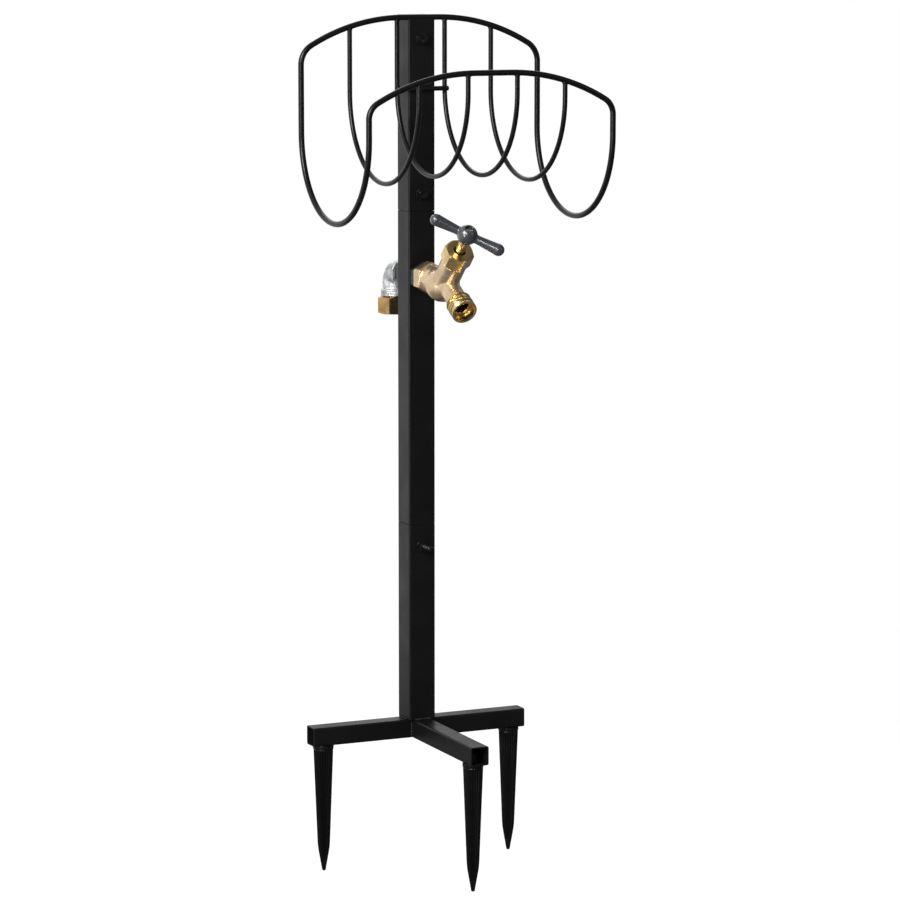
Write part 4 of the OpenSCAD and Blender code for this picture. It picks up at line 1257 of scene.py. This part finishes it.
outlet = {
    "start": 36.0, "end": 55.0, "radius": 13.4, "core": 12.1, "pitch": 3.7, "bore": 7.5,
    "ring": (1.2, 1.9, 2.6, 3.2),  # heights of the ring behind the thread
    "mouth": 11.0, "mouthDepth": 9.0, "lipHeight": 2.2, "lipEdge": 0.35,
}


def buildOutlet(s):
    low, high, r, core, bore = s["start"], s["end"], s["radius"], s["core"], s["bore"]
    first, second, third, fourth = [low + height for height in s["ring"]]
    lip, mouth, floor = high - s["lipHeight"], s["mouth"], high - s["mouthDepth"]
    rows = [(bore, low), (core, low), (core + 0.2, first), (r, second), (r, third), (core, fourth)]
    rows += threadedRows(r, r - core, s["pitch"], fourth, lip, 14)
    rows += rounded([(core, lip, 0), (r, lip + 0.4), (r, high), (mouth, high, 0.5)], s["lipEdge"])[1:-1]
    rows += [(mouth, floor), (bore + 0.4, floor - 0.3), (bore, floor - 0.8)]
    thread = smoothed(wrapped("outletThread", rows, around(96), onOutlet(), outletBrass), 38)
    seat(thread, "stand", "turned_brass")


buildOutlet(outlet)

bonnet = {
    "flats": 28.0, "corner": 0.9, "low": 33.0, "height": 50.0, "face": 0.995, "slope": 0.62, "soft": 0.3,
    "lowChamfer": True, "turn": 30, "rim": 11.4, "bore": 6.5, "boreLow": 47.0, "seat": 12.0,
}


def buildBonnet(s):
    top, low, boreLow = s["height"], s["low"], s["boreLow"]
    inner = rounded([
        (s["rim"], top, 0), (s["bore"], top, 0.6), (s["bore"], boreLow, 0.2),
        (s["seat"], boreLow, 0.2), (s["seat"], low, 0.5),
    ], 0, 3)
    nut = hexPiece("bonnetHex", s, inner, onStem(s["turn"]), stemBrass)
    seat(nut, "stand", "turned_brass", "bonnet_nut")


buildBonnet(bonnet)

stem = {  # heights are over the meeting point; rest is the closed handle's turn in degrees
    "shank": 4.8, "shoulder": 67.0, "cup": 8.9, "cupLow": -4.5, "cupTop": 1.0,
    "thread": 9.7, "threadLow": 9.0, "threadTop": 20.0, "groove": 54.0, "grooveDepth": 0.35,
    "square": 6.2, "squareTop": 77.0, "edge": 0.3, "rest": -37.0,
}


def buildStem(s):
    where = onStem(s["rest"])
    k, groove, neck = s["shank"], s["groove"], s["shank"] - s["grooveDepth"]
    profile = rounded([
        (0, s["cupLow"], 0), (s["cup"], s["cupLow"]), (s["cup"], s["cupTop"]), (k, s["cupTop"]),
        (k, s["threadLow"]), (s["thread"], s["threadLow"]),
        (s["thread"], s["threadTop"]), (k, s["threadTop"]),
        (k, groove), (neck, groove + 0.4), (neck, groove + 1.4), (k, groove + 1.8),
        (k, s["shoulder"]), (0, s["shoulder"], 0),
    ], s["edge"], 3)
    shaft = turned("shaft", profile, where, stemBrass, 64)
    side, tall = s["square"], s["squareTop"] - s["shoulder"] + 0.5
    square = block("square", where @ lifted(s["squareTop"] - tall / 2), (side, side, tall), stemBrass)
    whole = join("stemTurned", [shaft, bevelled(square, s["edge"])], stemBrass)
    seat(whole, "handle_and_stem", "turned_brass", "stem")


buildStem(stem)

handle = {
    "hub": 10.5, "hubHeight": 75.0, "shoulder": 8.0, "skirt": 7.2, "recess": 4.7, "recessFloor": 4.5,
    "reach": 35.0, "root": 4.0, "end": 6.3,  # the arms' length, and their radius at the hub and at the end
    "melt": 2.2, "voxel": 0.34, "room": [(-44, -13, -9.5), (44, 13, 12)],
}


def buildHandle(s):
    g, put = startTree("handleCasting", {
        "Melt": ("Float", s["melt"]), "Hub radius": ("Float", s["hub"]), "Finish": ("Material", None),
    })
    x, y, z = spotInMm(g)
    far = x.math("ABSOLUTE")
    hub = (x * x + y * y + z * z).math("SQRT") - put["Hub radius"]
    share = (far / s["reach"]).math("MINIMUM", 1.0)
    club = s["root"] + (s["end"] - s["root"]) * share ** 1.25
    arm = ((y * y + z * z).math("SQRT") - club) * 0.98
    arm = arm.math("SMOOTH_MAX", far - s["reach"], 0.4)
    past = far - s["reach"]
    end = (past * past + y * y + z * z).math("SQRT") - s["end"]
    arm = arm.math("SMOOTH_MIN", end, 0.6)
    flat = (x * x + y * y).math("SQRT")
    half = s["shoulder"] / 2
    skirt = (flat - s["skirt"]).math("SMOOTH_MAX", (z + half).math("ABSOLUTE") - half, 0.5)
    body = hub.math("SMOOTH_MIN", arm, put["Melt"])
    body = body.math("SMOOTH_MIN", skirt, 0.8)
    body = body.math("SMOOTH_MAX", -z - s["shoulder"], 0.4)
    recess = (flat - s["recess"]).math("SMOOTH_MAX", s["recessFloor"] - z, 0.3)
    body = body.math("SMOOTH_MAX", -recess, 0.8)
    tree = volumeMesh(g, body, *s["room"], s["voxel"], put["Finish"])
    casting = grow("handleCasting", tree, {"Finish": handlePaint})
    casting.data.transform(onStem(stem["rest"]) @ lifted(s["hubHeight"]))
    seat(casting, "handle_and_stem", "handle_paint", "handle")
    print("handle faces", len(casting.data.polygons))


buildHandle(handle)

screw = {
    "radius": 4.2, "low": 79.5, "high": 81.9, "crown": 2.0, "shank": 2.0, "shankLow": 68.0,
    "turn": 12.0, "slot": (10, 1.1, 2.0),
}


def buildHandleScrew(s):
    where = onStem(s["turn"])
    shank, radius, low, high = s["shank"], s["radius"], s["low"], s["high"]
    profile = rounded([
        (0, s["shankLow"], 0), (shank, s["shankLow"]), (shank, low, 0), (radius, low),
        (radius, high - 0.7, 0.8), (s["crown"], high, 1.2), (0, high, 0),
    ], 0.3)
    head = turned("handleScrewHead", profile, where, zincSteel, 64)
    blade = block("slot", where @ lifted(high), s["slot"], zincSteel)
    cut = head.modifiers.new("slot", "BOOLEAN")
    cut.object, cut.operation, cut.solver = blade, "DIFFERENCE", "EXACT"
    flatten(head)
    bpy.data.objects.remove(blade)
    seat(smoothed(head, 30), "handle_and_stem", "zinc_screw", "handle_screw")


buildHandleScrew(screw)

keptSolids = {  # hidden pieces that stay as model.glb has them
    "lower_connector": connectorSteel, "upper_connector": connectorSteel, "packing_ring": rubber,
    "seat_washer": rubber, "washer_screw": stemBrass, "swivel_tail": inletBrass, "hose_washer": rubber,
}
for node, finish in keptSolids.items():
    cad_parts[node].material_slots[0].material = finish
print("faucet done")
